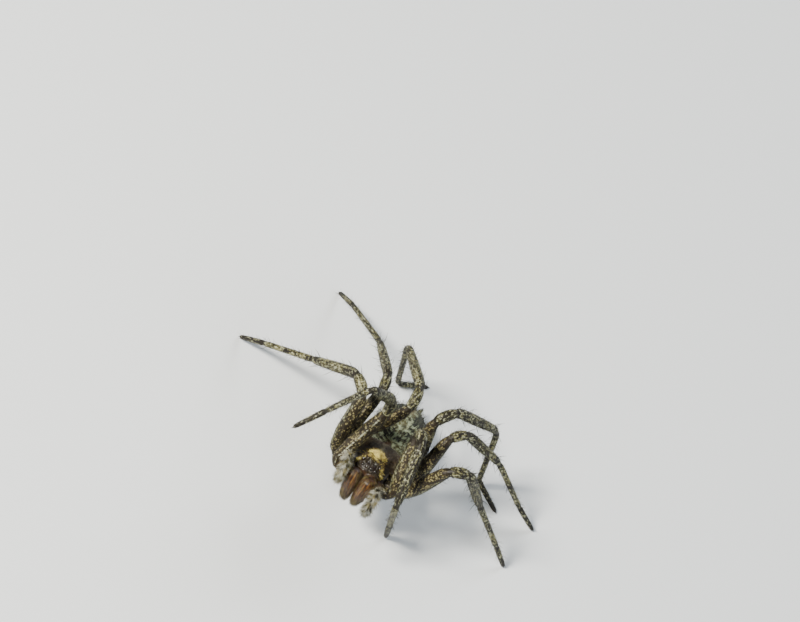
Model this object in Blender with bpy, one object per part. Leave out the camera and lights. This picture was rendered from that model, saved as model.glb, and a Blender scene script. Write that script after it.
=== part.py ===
"""Labyrinth spider, life size, crouching on a flat floor.

The spider faces -Y, its left side is +X, and the floor is z = 0. Every size is written in millimetres
and each finished mesh is scaled to metres. The body is laid out in the frame of its head and thorax,
which is then pitched, rolled and lifted, and each leg is one centre line with rounded joints, cut at
the joints into nodes that meet face to face.
"""

import math
from functools import partial

import bmesh
import bpy
from mathutils import Matrix, Vector

METRES_PER_MM = 0.001
NODE_GAP = 0.26

# Stance of the head and thorax
CARAPACE_PITCH = math.radians(24.0)
CARAPACE_ROLL = math.radians(8.0)
CARAPACE_HEIGHT = 4.9

# Head and thorax, in their own frame: half widths, crown heights and floor heights along y
CARAPACE_LENGTH = 4.8
CARAPACE_FRONT = -2.15
CARAPACE_SIDES = 22
CARAPACE_STATIONS = [
    # (part of the length, half width, crown z, rim z)
    (0.00, 0.72, 0.50, 0.16),
    (0.05, 0.90, 0.78, 0.16),
    (0.12, 0.99, 1.02, 0.16),
    (0.22, 1.06, 1.15, 0.17),
    (0.32, 1.22, 1.12, 0.18),
    (0.42, 1.62, 1.00, 0.18),
    (0.52, 1.88, 0.98, 0.18),
    (0.62, 1.96, 0.96, 0.18),
    (0.72, 1.88, 0.86, 0.16),
    (0.82, 1.62, 0.66, 0.10),
    (0.91, 1.18, 0.40, 0.02),
    (0.97, 0.72, 0.16, -0.06),
    (1.00, 0.40, 0.02, -0.12),
]
CARAPACE_SQUARENESS = 0.85
CARAPACE_UNDERSIDE = 0.16
STERNUM_CENTRE = (0.0, 0.34, -0.42)
STERNUM_HALF_SIZE = (0.98, 1.96, 0.72)
STERNUM_RINGS = (10, 16)
LABIUM_CENTRE = (0.0, -1.44, -0.82)
LABIUM_HALF_SIZE = (0.30, 0.34, 0.24)
MAXILLA_CENTRE = (0.42, -1.46, -0.82)
MAXILLA_HALF_SIZE = (0.26, 0.50, 0.22)
MOUTHPART_RINGS = (5, 8)
ELLIPSOID_END_CUT = 0.08
PEDICEL_RADII = (0.51, 0.34)
PEDICEL_START = (0.0, 1.95, -0.10)
PEDICEL_END = (0.0, 2.86, -0.06)
PEDICEL_SIDES = 12

# Eyes: (distance from the middle line, y, z, radius), one of each pair
EYES = [
    (0.17, -2.06, 0.58, 0.130),
    (0.50, -1.97, 0.52, 0.125),
    (0.24, -1.91, 0.92, 0.120),
    (0.66, -1.68, 0.86, 0.125),
]
EYE_RINGS = (6, 8)

# Abdomen: an egg on its own pitched axis behind the waist
ABDOMEN_PITCH = math.radians(26.0)
ABDOMEN_LENGTH = 5.7
ABDOMEN_HALF_WIDTH = 1.88
ABDOMEN_HALF_HEIGHT = 1.82
ABDOMEN_START_GAP = 0.26
ABDOMEN_SIDES = 24
ABDOMEN_STEPS = 18
ABDOMEN_FRONT_FULLNESS = 0.56
ABDOMEN_REAR_FULLNESS = 0.62
ABDOMEN_WIDEST = 0.50
ABDOMEN_FRONT_POWER = 2.2
ABDOMEN_REAR_POWER = 2.0
ABDOMEN_END_CUT = 0.03

# Spinnerets at the rear of the abdomen
SPINNERET_SPREAD = 0.30
SPINNERET_LENGTH = 1.25
SPINNERET_RADIUS = 0.19
SPINNERET_TIP_RADIUS = 0.09
SPINNERET_RISE = math.radians(14.0)
SPINNERET_SPLAY = 0.12
SPINNERET_ROOT_PART = 0.975
SPINNERET_JOINT = 0.48
SPINNERET_TAPER = 0.15
SPINNERET_STEP = 0.74
SPINNERET_SIDES = 8
SPINNERET_STEPS = 8
FRONT_SPINNERET_PART = 0.90
FRONT_SPINNERET_SPREAD = 0.24
FRONT_SPINNERET_DROP = 0.34
FRONT_SPINNERET_REACH = (0.77, 0.17)
FRONT_SPINNERET_RADII = (0.20, 0.10)

# Jaws and their fangs
CHELICERA_OFFSET = 0.62
CHELICERA_LENGTH = 2.05
CHELICERA_PROFILE = [(0.0, 0.38), (0.07, 0.48), (0.25, 0.54), (0.55, 0.49), (0.85, 0.37), (1.0, 0.21)]
CHELICERA_STEPS = 11
CHELICERA_TOP = (-2.70, 0.10)
CHELICERA_LEAN = math.radians(9.0)
CHELICERA_CLOSING = 0.20
FANG_ROOT = (0.12, -0.06, 0.0)
FANG_REACH = (-0.40, 0.42, -0.52)
FANG_BEND = (0.10, -0.10, -0.22)
FANG_RADII = (0.15, 0.02)
CHELICERA_SIDES = 14
FANG_SIDES = 7

# Palps: lengths of the femur, the patella with the tibia, and the tarsus, and the angles of each
PALP_ROOT = (1.50, -2.42, -0.86)
PALP_LENGTHS = (2.00, 1.40, 1.40)
PALP_ROUNDINGS = (0.55, 0.42)
PALP_SIDES = 10
PALP_FEMUR_PROFILE = [(0.0, 0.19), (0.25, 0.26), (0.7, 0.27), (1.0, 0.23)]
PALP_TIP_PROFILE = [(0.0, 0.25), (0.12, 0.31), (0.45, 0.30), (0.55, 0.32), (0.72, 0.29), (1.0, 0.11)]
PALP_ANGLES = {
    "left": ((87.0, 44.0), (92.0, -45.0), (-90.0, -55.0)),
    "right": ((46.0, 84.0), (104.0, -36.0), (-90.0, -72.0)),
}

# Legs: femur, patella, tibia, metatarsus, tarsus
LEG_LENGTHS = {
    1: (5.3, 1.8, 5.0, 5.0, 2.6),
    2: (5.0, 1.6, 4.8, 4.9, 2.4),
    3: (4.9, 1.4, 4.9, 5.3, 2.5),
    4: (5.9, 1.8, 5.6, 6.5, 2.6),
}
LEG_THICKNESS = {1: 1.0, 2: 0.97, 3: 0.91, 4: 0.97}
TROCHANTER_POINT = {
    1: (2.45, -2.15, -0.62),
    2: (2.95, -0.85, -0.62),
    3: (2.95, 0.55, -0.62),
    4: (2.50, 2.25, -0.62),
}
COXA_LENGTH = {1: 1.85, 2: 1.75, 3: 1.75, 4: 1.80}
COXA_TURN = {1: 24.0, 2: 7.0, 3: -5.0, 4: -28.0}

# Each leg's stance, in degrees: the turn from straight out towards the front, then the rise, of the
# femur, tibia, metatarsus and tarsus. The patella lies between femur and tibia. A planted foot's
# tarsus takes the rise that brings its tip down to the floor.
LEG_POSE = {
    ("right", 1): ((-103, 49), (62, 45), (14, -73), (56, -46)),
    ("right", 2): ((-72, 60), (-19, -47), (-12, -43), (-12, None)),
    ("right", 3): ((-91, 42), (-62, -31), (-44, -32), (-45, None)),
    ("right", 4): ((-150, 68), (-58, -28), (-131, -73), (-138, None)),
    ("left", 1): ((-113, 44), (67, -39), (-70, -68), (-62, None)),
    ("left", 2): ((-33, 72), (-36, -58), (-17, -50), (-17, None)),
    ("left", 3): ((-91, 56), (-34, -38), (-17, -48), (-13, None)),
    ("left", 4): ((-149, 76), (-46, -33), (-9, -77), (17, None)),
}
PATELLA_SHARE = 0.55

# Shape of a leg: (part of the segment, radius) for each segment, before the leg's own thickness
COXA_PROFILE = [(0.0, 0.34), (0.40, 0.43), (0.85, 0.40), (1.0, 0.36)]
FEMUR_PROFILE = [(0.0, 0.34), (0.12, 0.44), (0.38, 0.57), (0.70, 0.52), (0.90, 0.45), (1.0, 0.41)]
TIBIA_PROFILE = [(0.0, 0.40), (0.13, 0.45), (0.27, 0.41), (0.42, 0.43), (0.75, 0.38), (1.0, 0.31)]
FOOT_PROFILE = [(0.0, 0.28), (0.20, 0.27), (0.62, 0.25), (0.68, 0.26), (0.88, 0.22), (1.0, 0.14)]
HIP_ROUNDING = 0.85
PATELLA_ROUNDING = 0.49
ANKLE_ROUNDING = 0.95
TOE_ROUNDING = 0.50
SOLE_HEIGHT = 0.12
LEG_SIDES = 10
FOOT_SIDES = 8
POINTS_PER_MM = 1.5
SHORTEST_STEP = 0.02
BEND_REACH = 1.3
BEND_STEP = 0.03
ROUNDING_POINTS = 5
CONE_STEPS = 5

MATERIALS = {
    # name: (linear colour, roughness)
    "coat": ((0.130, 0.085, 0.045), 0.7),
    "abdomen": ((0.110, 0.090, 0.062), 0.8),
    "jaw": ((0.230, 0.070, 0.022), 0.3),
    "leg": ((0.180, 0.135, 0.070), 0.7),
    "foot": ((0.110, 0.070, 0.040), 0.7),
}


def clear_scene():
    """Remove everything that a new file starts with."""
    for item in list(bpy.data.objects):
        bpy.data.objects.remove(item, do_unlink=True)


def make_material(name, colour, roughness):
    """A Principled material of one colour."""
    material = bpy.data.materials.new(name)
    material.use_nodes = True
    shader = material.node_tree.nodes["Principled BSDF"]
    shader.inputs["Base Color"].default_value = (*colour, 1.0)
    shader.inputs["Roughness"].default_value = roughness
    shader.inputs["Metallic"].default_value = 0.0
    return material


def new_object(name, points, faces):
    """A mesh object, in millimetres, with its faces pointing out."""
    mesh = bpy.data.meshes.new(name)
    mesh.from_pydata([tuple(point) for point in points], [], faces)
    bm = bmesh.new()
    bm.from_mesh(mesh)
    bmesh.ops.recalc_face_normals(bm, faces=bm.faces)
    bm.to_mesh(mesh)
    bm.free()
    item = bpy.data.objects.new(name, mesh)
    bpy.context.scene.collection.objects.link(item)
    return item


def ring_faces(ring_count, sides):
    """Quads between rings of equal size, with one flat or pointed cap at each end."""
    faces = []
    for ring in range(ring_count - 1):
        for side in range(sides):
            following = (side + 1) % sides
            start = ring * sides
            faces.append((start + side, start + following, start + sides + following, start + sides + side))
    faces.append(tuple(range(sides)))
    faces.append(tuple((ring_count - 1) * sides + side for side in range(sides)))
    return faces


def loft(name, rings):
    """A closed solid through rings that all have the same number of points."""
    points = [point for ring in rings for point in ring]
    return new_object(name, points, ring_faces(len(rings), len(rings[0])))


def ellipsoid(name, centre, half_size, rings, sides):
    """An ellipsoid of rings across its y axis."""
    centre = Vector(centre)
    ring_list = []
    for step in range(rings + 1):
        angle = math.pi * (ELLIPSOID_END_CUT + (1.0 - 2.0 * ELLIPSOID_END_CUT) * step / rings)
        y = -half_size[1] * math.cos(angle)
        reach = math.sin(angle)
        ring = []
        for side in range(sides):
            around = 2.0 * math.pi * side / sides
            x = half_size[0] * reach * math.cos(around)
            ring.append(centre + Vector((x, y, half_size[2] * reach * math.sin(around))))
        ring_list.append(ring)
    return loft(name, ring_list)


def body_matrix():
    """From the frame of the head and thorax to the world, in millimetres."""
    pitch = Matrix.Rotation(-CARAPACE_PITCH, 4, "X")
    roll = Matrix.Rotation(-CARAPACE_ROLL, 4, "Y")
    return Matrix.Translation((0.0, 0.0, CARAPACE_HEIGHT)) @ pitch @ roll


def direction(side, turn, rise):
    """Unit vector for a leg segment: turned from straight out towards the front, then raised."""
    outward = 1.0 if side == "left" else -1.0
    turn = math.radians(turn)
    rise = math.radians(rise)
    level = math.cos(rise)
    return Vector((outward * math.cos(turn) * level, -math.sin(turn) * level, math.sin(rise)))


def mirrored(point, side):
    """The point on the named side of the body, given on the left side."""
    outward = 1.0 if side == "left" else -1.0
    return Vector((point[0] * outward, point[1], point[2]))


def chain(start, side, lengths, angles):
    """Joint points of a limb from its root outwards."""
    points = [Vector(start)]
    for length, (turn, rise) in zip(lengths, angles):
        points.append(points[-1] + length * direction(side, turn, rise))
    return points


def curve_point(start, corner, end, part):
    """A point of the quadratic curve that rounds a joint."""
    return start.lerp(corner, part).lerp(corner.lerp(end, part), part)


def rounded_path(joints, roundings):
    """Centre line through the joints with rounded corners, and where each joint's middle lies on it.

    Returns the path's points and, for each inner joint, the number of its middle point.
    """
    path = [joints[0].copy()]
    middles = []
    for number in range(1, len(joints) - 1):
        before, corner, after = joints[number - 1], joints[number], joints[number + 1]
        reach = roundings[number - 1]
        start = corner + (before - corner).normalized() * reach
        end = corner + (after - corner).normalized() * reach
        add_straight(path, start)
        for step in range(1, ROUNDING_POINTS):
            path.append(curve_point(start, corner, end, step / ROUNDING_POINTS))
            if step * 2 == ROUNDING_POINTS - 1:
                path.append(curve_point(start, corner, end, 0.5))
                middles.append(len(path) - 1)
        path.append(end)
    add_straight(path, joints[-1])
    return path, middles


def add_straight(path, end):
    """Carry the path on in a straight line with evenly spaced points."""
    start = path[-1]
    span = (end - start).length
    steps = max(1, round(span * POINTS_PER_MM))
    for step in range(1, steps + 1):
        path.append(start.lerp(end, step / steps))


def trim(path, start_cut, end_cut):
    """The path with the given lengths cut from its ends."""
    for length, from_start in ((start_cut, True), (end_cut, False)):
        if not from_start:
            path = path[::-1]
        left = length
        while left > 0.0 and len(path) > 2 and (path[1] - path[0]).length <= left + SHORTEST_STEP:
            left -= (path[1] - path[0]).length
            path = path[1:]
        if left > 0.0:
            step = (path[1] - path[0]).normalized() * left
            path = [path[0] + step] + list(path[1:])
        if not from_start:
            path = path[::-1]
    return path


def profile_radius(profile, part):
    """Radius at a part of the segment, smoothed between the profile's points."""
    for (part_a, radius_a), (part_b, radius_b) in zip(profile, profile[1:]):
        if part <= part_b:
            blend = (part - part_a) / (part_b - part_a)
            blend = blend * blend * (3.0 - 2.0 * blend)
            return radius_a + (radius_b - radius_a) * blend
    return profile[-1][1]


def tube_rings(path, radius_at, sides, end_ways=(None, None)):
    """Rings square to the path, carried along it without twisting.

    The first and last ring are square to the given ways instead, where they are given.
    """
    lengths = [0.0]
    for start, end in zip(path, path[1:]):
        lengths.append(lengths[-1] + (end - start).length)
    rings = []
    across = None
    for number, point in enumerate(path):
        before = path[max(0, number - 1)]
        after = path[min(len(path) - 1, number + 1)]
        tangent = (after - before).normalized()
        if number == 0 and end_ways[0]:
            tangent = end_ways[0]
        if number == len(path) - 1 and end_ways[1]:
            tangent = end_ways[1]
        if across is None:
            across = tangent.orthogonal().normalized()
        across = (across - tangent * across.dot(tangent)).normalized()
        upright = tangent.cross(across)
        radius = radius_at(lengths[number] / lengths[-1])
        ring = []
        for side in range(sides):
            around = 2.0 * math.pi * side / sides
            ring.append(point + radius * (math.cos(around) * across + math.sin(around) * upright))
        rings.append(ring)
    if end_ways[0]:
        hold_inside(rings, path, end_ways[0])
    if end_ways[1]:
        hold_inside(rings[::-1], path[::-1], -end_ways[1])
    return rings


def hold_inside(rings, path, inward):
    """Keep the rings near an end behind the plane of that end, where a sharp bend would cross it."""
    reach = 0.0
    for number in range(1, len(rings)):
        reach += (path[number] - path[number - 1]).length
        if reach > BEND_REACH:
            return
        for place, point in enumerate(rings[number]):
            short = BEND_STEP * number - (point - path[0]).dot(inward)
            if short > 0.0:
                rings[number][place] = point + inward * short


def tube(name, path, radius_at, sides, end_ways=(None, None)):
    """A closed tube along a path."""
    return loft(name, tube_rings(path, radius_at, sides, end_ways))


def way_at(path, number):
    """Direction of the path at one of its points."""
    return (path[number + 1] - path[number - 1]).normalized()


def cut_tubes(names, path, cuts, profiles, sides, thickness=1.0):
    """Tubes along one path, parted at the numbered points, each end square to the path there."""
    items = []
    for place, name in enumerate(names):
        first, last = cuts[place], cuts[place + 1]
        start_way = way_at(path, first) if first > 0 else None
        end_way = way_at(path, last) if last < len(path) - 1 else None
        line = path[first:last + 1]
        line = trim(line, NODE_GAP / 2.0, NODE_GAP / 2.0 if end_way else 0.0)
        if start_way:
            line[0] = path[first] + start_way * (NODE_GAP / 2.0)
        if end_way:
            line[-1] = path[last] - end_way * (NODE_GAP / 2.0)
        profile = profiles[place]
        shape = [(part, radius * thickness) for part, radius in profile]
        radius_at = partial(profile_radius, shape)
        items.append(tube(name, line, radius_at, sides[place], (start_way, end_way)))
    return items


def cone(name, start, end, radii, sides, bend=(0.0, 0.0, 0.0)):
    """A tapered, possibly bent, piece from the first radius to the second."""
    start, end = Vector(start), Vector(end)
    corner = (start + end) / 2.0 + Vector(bend)
    path = [curve_point(start, corner, end, step / CONE_STEPS) for step in range(CONE_STEPS + 1)]
    return tube(name, path, lambda part: radii[0] + (radii[1] - radii[0]) * part, sides)


def union(name, pieces):
    """One closed body from overlapping pieces, its largest closed surface."""
    base = pieces[0]
    base.name = name
    if len(pieces) > 1:
        group = bpy.data.collections.new(name + "_pieces")
        bpy.context.scene.collection.children.link(group)
        for piece in pieces[1:]:
            bpy.context.scene.collection.objects.unlink(piece)
            group.objects.link(piece)
        modifier = base.modifiers.new("Join", "BOOLEAN")
        modifier.operation = "UNION"
        modifier.operand_type = "COLLECTION"
        modifier.collection = group
        modifier.solver = "EXACT"
        bpy.context.view_layer.objects.active = base
        bpy.ops.object.modifier_apply(modifier=modifier.name)
        for piece in pieces[1:]:
            bpy.data.objects.remove(piece, do_unlink=True)
        bpy.data.collections.remove(group)
    keep_largest_surface(base)
    return base


def keep_largest_surface(item):
    """Drop every closed surface but the one with the most faces."""
    bm = bmesh.new()
    bm.from_mesh(item.data)
    groups = []
    unseen = set(bm.faces)
    while unseen:
        first = unseen.pop()
        group = [first]
        stack = [first]
        while stack:
            for edge in stack.pop().edges:
                for face in edge.link_faces:
                    if face in unseen:
                        unseen.discard(face)
                        group.append(face)
                        stack.append(face)
        groups.append(group)
    groups.sort(key=len, reverse=True)
    loose = [face for group in groups[1:] for face in group]
    bmesh.ops.delete(bm, geom=loose, context="FACES")
    bm.to_mesh(item.data)
    bm.free()


def finish(item, material):
    """Give the node its material and smooth shading."""
    item.data.materials.clear()
    item.data.materials.append(material)
    item.data.shade_smooth()
    return item


# Head and thorax


def carapace_shell():
    """The domed shield: a crown over a flatter underside, with a grooved neck."""
    rings = []
    for part, half_width, crown, rim in CARAPACE_STATIONS:
        y = CARAPACE_FRONT + CARAPACE_LENGTH * part
        ring = []
        for side in range(CARAPACE_SIDES):
            around = 2.0 * math.pi * side / CARAPACE_SIDES
            x = half_width * math.copysign(abs(math.cos(around)) ** CARAPACE_SQUARENESS, math.cos(around))
            height = (crown - rim) if math.sin(around) > 0.0 else CARAPACE_UNDERSIDE
            ring.append(Vector((x, y, rim + height * math.sin(around))))
        rings.append(ring)
    return loft("shield", rings)


def make_cephalothorax(materials):
    """Shield, breastplate, lip, mouth plates, waist and eyes as one body."""
    pieces = [carapace_shell()]
    pieces.append(ellipsoid("breastplate", STERNUM_CENTRE, STERNUM_HALF_SIZE, *STERNUM_RINGS))
    pieces.append(ellipsoid("lip", LABIUM_CENTRE, LABIUM_HALF_SIZE, *MOUTHPART_RINGS))
    for side in ("left", "right"):
        centre = mirrored(MAXILLA_CENTRE, side)
        pieces.append(ellipsoid("mouth_plate", centre, MAXILLA_HALF_SIZE, *MOUTHPART_RINGS))
    pieces.append(cone("waist", PEDICEL_START, PEDICEL_END, PEDICEL_RADII, PEDICEL_SIDES))
    for offset, y, z, radius in EYES:
        for side in ("left", "right"):
            centre = mirrored((offset, y, z), side)
            pieces.append(ellipsoid("eye", centre, (radius,) * 3, *EYE_RINGS))
    item = union("cephalothorax", pieces)
    item.data.transform(body_matrix())
    return finish(item, materials["coat"])


# Abdomen and spinnerets


def abdomen_axis():
    """Start point and the along, side and up directions of the abdomen."""
    waist_end = body_matrix() @ Vector(PEDICEL_END)
    along = Vector((0.0, math.cos(ABDOMEN_PITCH), -math.sin(ABDOMEN_PITCH)))
    roll = Matrix.Rotation(-CARAPACE_ROLL, 3, along)
    side = roll @ Vector((1.0, 0.0, 0.0))
    return waist_end + along * ABDOMEN_START_GAP, along, side, along.cross(side) * -1.0


def abdomen_fullness(part):
    """Share of the full girth at a part of the length."""
    if part < ABDOMEN_WIDEST:
        spread = (ABDOMEN_WIDEST - part) / ABDOMEN_WIDEST
        return max(0.0, 1.0 - spread ** ABDOMEN_FRONT_POWER) ** ABDOMEN_FRONT_FULLNESS
    spread = (part - ABDOMEN_WIDEST) / (1.0 - ABDOMEN_WIDEST)
    return max(0.0, 1.0 - spread ** ABDOMEN_REAR_POWER) ** ABDOMEN_REAR_FULLNESS


def abdomen_rings():
    """Cross sections of the abdomen, closer together at the ends."""
    start, along, side, up = abdomen_axis()
    rings = []
    for step in range(ABDOMEN_STEPS + 1):
        turn = ABDOMEN_END_CUT + (1.0 - 2.0 * ABDOMEN_END_CUT) * step / ABDOMEN_STEPS
        part = 0.5 - 0.5 * math.cos(math.pi * turn)
        full = abdomen_fullness(part)
        centre = start + along * (ABDOMEN_LENGTH * part)
        ring = []
        for number in range(ABDOMEN_SIDES):
            around = 2.0 * math.pi * number / ABDOMEN_SIDES
            across = side * (ABDOMEN_HALF_WIDTH * full * math.cos(around))
            ring.append(centre + across + up * (ABDOMEN_HALF_HEIGHT * full * math.sin(around)))
        rings.append(ring)
    return rings


def spinneret_root(side):
    """Where a hind spinneret leaves the abdomen, and the way it points."""
    start, along, across, up = abdomen_axis()
    outward = 1.0 if side == "left" else -1.0
    root = start + along * (ABDOMEN_LENGTH * SPINNERET_ROOT_PART) + across * (outward * SPINNERET_SPREAD)
    lift = math.cos(SPINNERET_RISE) * along + math.sin(SPINNERET_RISE) * up
    return root, (lift + across * (SPINNERET_SPLAY * outward)).normalized()


def make_abdomen(materials):
    """The egg of the abdomen with its short front spinnerets."""
    start, along, across, up = abdomen_axis()
    pieces = [loft("egg", abdomen_rings())]
    for outward in (1.0, -1.0):
        root = start + along * (ABDOMEN_LENGTH * FRONT_SPINNERET_PART) - up * FRONT_SPINNERET_DROP
        root += across * (outward * FRONT_SPINNERET_SPREAD)
        tip = root + along * FRONT_SPINNERET_REACH[0] - up * FRONT_SPINNERET_REACH[1]
        pieces.append(cone("front_spinneret", root, tip, FRONT_SPINNERET_RADII, SPINNERET_SIDES))
    return finish(union("abdomen", pieces), materials["abdomen"])


def make_spinneret(side, materials):
    """One long hind spinneret of two parts."""
    root, along = spinneret_root(side)
    start = root + along * NODE_GAP
    end = start + along * SPINNERET_LENGTH
    upper_radius = SPINNERET_RADIUS * SPINNERET_STEP

    def radius_at(part):
        """Full base part, then the slimmer end part."""
        if part < SPINNERET_JOINT:
            return SPINNERET_RADIUS * (1.0 - SPINNERET_TAPER * part / SPINNERET_JOINT)
        along_end = (part - SPINNERET_JOINT) / (1.0 - SPINNERET_JOINT)
        return upper_radius + (SPINNERET_TIP_RADIUS - upper_radius) * along_end

    path = [start.lerp(end, step / SPINNERET_STEPS) for step in range(SPINNERET_STEPS + 1)]
    return finish(tube("spinneret_" + side, path, radius_at, SPINNERET_SIDES), materials["abdomen"])


# Jaws and palps


def make_chelicera(side, materials):
    """A swollen jaw with its curved fang folded in under the tip."""
    top = mirrored((CHELICERA_OFFSET, CHELICERA_TOP[0], CHELICERA_TOP[1]), side)
    down = Vector((0.0, -math.sin(CHELICERA_LEAN), -math.cos(CHELICERA_LEAN)))
    path = []
    for step in range(CHELICERA_STEPS + 1):
        part = step / CHELICERA_STEPS
        inward = mirrored((-CHELICERA_CLOSING * part, 0.0, 0.0), side)
        path.append(top + down * (CHELICERA_LENGTH * part) + inward)
    jaw = tube("jaw", path, lambda part: profile_radius(CHELICERA_PROFILE, part), CHELICERA_SIDES)
    root = path[-2] + mirrored(FANG_ROOT, side)
    tip = root + mirrored(FANG_REACH, side)
    fang = cone("fang", root, tip, FANG_RADII, FANG_SIDES, mirrored(FANG_BEND, side))
    item = union("chelicera_" + side, [jaw, fang])
    item.data.transform(body_matrix())
    return finish(item, materials["jaw"])


def make_palp(side, materials):
    """The short leg-like feeler beside the jaws, in two lengths."""
    root = mirrored(PALP_ROOT, side)
    joints = chain(root, side, PALP_LENGTHS, PALP_ANGLES[side])
    path, middles = rounded_path(joints, PALP_ROUNDINGS)
    world = body_matrix()
    names = ["palp_%s_femur" % side, "palp_%s_tip" % side]
    cuts = [0, middles[0], len(path) - 1]
    profiles = (PALP_FEMUR_PROFILE, PALP_TIP_PROFILE)
    for item in cut_tubes(names, path, cuts, profiles, (PALP_SIDES, PALP_SIDES)):
        item.data.transform(world)
        finish(item, materials["leg"])


# Legs


def between(start, end, share):
    """Unit vector part of the way round from one unit vector to another."""
    swing = start.angle(end)
    return (math.sin((1.0 - share) * swing) * start + math.sin(share * swing) * end) / math.sin(swing)


def leg_joints(side, number):
    """Trochanter, knee, patella end, tibia end, metatarsus end and tarsus tip in the world."""
    femur, tibia, metatarsus, (tarsus_turn, tarsus_rise) = LEG_POSE[side, number]
    thigh = direction(side, *femur)
    shin = direction(side, *tibia)
    ways = [thigh, between(thigh, shin, PATELLA_SHARE), shin, direction(side, *metatarsus)]
    points = [body_matrix() @ mirrored(TROCHANTER_POINT[number], side)]
    lengths = LEG_LENGTHS[number]
    for length, way in zip(lengths, ways):
        points.append(points[-1] + length * way)
    if tarsus_rise is None:
        drop = (points[-1].z - SOLE_HEIGHT) / lengths[-1]
        tarsus_rise = -math.degrees(math.asin(min(1.0, drop)))
    points.append(points[-1] + lengths[-1] * direction(side, tarsus_turn, tarsus_rise))
    return points


def coxa_root(side, number):
    """Where the hip leaves the breastplate, in the world."""
    turn = math.radians(COXA_TURN[number])
    inward = Vector((-math.cos(turn), math.sin(turn), 0.0)) * COXA_LENGTH[number]
    return body_matrix() @ mirrored(Vector(TROCHANTER_POINT[number]) + inward, side)


def set_on_floor(item):
    """Flatten what would pass the floor into a small level sole."""
    for vertex in item.data.vertices:
        vertex.co.z = max(0.0, vertex.co.z)


def make_leg(side, number, materials):
    """Hip, thigh, shin and foot of one leg, cut apart at the joints."""
    name = "leg_%s_%d_" % (side, number)
    joints = [coxa_root(side, number)] + leg_joints(side, number)
    knee = PATELLA_ROUNDING * LEG_LENGTHS[number][1]
    path, middles = rounded_path(joints, (HIP_ROUNDING, knee, knee, ANKLE_ROUNDING, TOE_ROUNDING))
    cuts = [0, middles[0], middles[1], middles[3], len(path) - 1]
    names = [name + section for section in ("coxa", "femur", "tibia", "foot")]
    profiles = (COXA_PROFILE, FEMUR_PROFILE, TIBIA_PROFILE, FOOT_PROFILE)
    sides = (LEG_SIDES, LEG_SIDES, LEG_SIDES, FOOT_SIDES)
    items = cut_tubes(names, path, cuts, profiles, sides, LEG_THICKNESS[number])
    set_on_floor(items[-1])
    for item, slot in zip(items, ("coat", "leg", "leg", "foot")):
        finish(item, materials[slot])


def centre_on_origin():
    """Scale to metres and move all nodes so that the origin is under the middle of the whole."""
    nodes = [item for item in bpy.data.objects if item.type == "MESH"]
    corners = [vertex.co for item in nodes for vertex in item.data.vertices]
    low = [min(corner[axis] for corner in corners) for axis in range(3)]
    high = [max(corner[axis] for corner in corners) for axis in range(3)]
    shift = Vector((-(low[0] + high[0]) / 2.0, -(low[1] + high[1]) / 2.0, 0.0))
    for item in nodes:
        item.data.transform(Matrix.Scale(METRES_PER_MM, 4) @ Matrix.Translation(shift))


def main():
    """Build the spider."""
    clear_scene()
    materials = {name: make_material(name, *look) for name, look in MATERIALS.items()}
    make_cephalothorax(materials)
    make_abdomen(materials)
    for side in ("left", "right"):
        make_spinneret(side, materials)
        make_chelicera(side, materials)
        make_palp(side, materials)
        for number in (1, 2, 3, 4):
            make_leg(side, number, materials)
    centre_on_origin()


main()
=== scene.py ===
"""Looks of a life-size labyrinth spider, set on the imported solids.

Lengths are millimetres in the spider's own layout: it faces -Y, its left side is +X and the floor is
z = 0. Each finished mesh is moved into the row's frame, in metres. Every skin is a grid of points, with
rings along it and sides around it, and the coat is sown on the same grids, so that skin and hair share
one set of markings: dark, pale and tint.
"""

from __future__ import annotations

import logging
import math
from dataclasses import dataclass
from enum import Enum
from typing import Any, Callable, Sequence

import bmesh
import bpy
import numpy as np
from mathutils import Matrix, Vector


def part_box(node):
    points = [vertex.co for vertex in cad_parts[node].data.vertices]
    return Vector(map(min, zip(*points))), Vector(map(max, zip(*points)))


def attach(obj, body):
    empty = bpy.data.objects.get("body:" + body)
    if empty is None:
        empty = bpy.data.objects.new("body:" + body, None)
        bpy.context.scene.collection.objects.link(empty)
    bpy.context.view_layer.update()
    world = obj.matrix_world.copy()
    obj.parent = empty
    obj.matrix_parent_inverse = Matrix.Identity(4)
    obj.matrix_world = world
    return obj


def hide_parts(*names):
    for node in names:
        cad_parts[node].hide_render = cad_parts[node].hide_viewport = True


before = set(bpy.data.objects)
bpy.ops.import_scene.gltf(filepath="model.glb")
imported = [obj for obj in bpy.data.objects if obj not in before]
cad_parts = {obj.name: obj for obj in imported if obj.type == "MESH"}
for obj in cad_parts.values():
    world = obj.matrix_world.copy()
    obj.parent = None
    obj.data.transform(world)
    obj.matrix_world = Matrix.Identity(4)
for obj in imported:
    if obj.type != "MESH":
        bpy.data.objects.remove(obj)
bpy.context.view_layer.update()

LOG = logging.getLogger("spider")
METRES_PER_MM = 0.001
BAKE_PATCH = 0.003  # part of the unwrap that one hair takes
ROOT_DEPTH = 0.02
HAIR_MIDDLE_GIRTH = 0.78
SOLE_CLEARANCE = 0.004
TIGHTEST_FOLD = 0.80
CORNER_STEPS = 17
WAVES = 9
Array = np.ndarray
Chance = np.random.Generator
Piece = bpy.types.Object
Marks = Callable[[Array, Array, Array], Array]
Colour = tuple[float, float, float]
Place = tuple[float, float, float]
Rows = tuple[tuple[float, float], ...]


class Side(Enum):
    """Side of the body."""

    LEFT = 1.0
    RIGHT = -1.0

    @property
    def word(self) -> str:
        """The side as it stands in a node's name."""
        return self.name.lower()


# Arithmetic on points


def unit(vectors: Array) -> Array:
    """Scale vectors to length one along the last axis."""
    length = np.linalg.norm(vectors, axis=-1, keepdims=True)
    return vectors / np.maximum(length, 1e-9)


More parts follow.
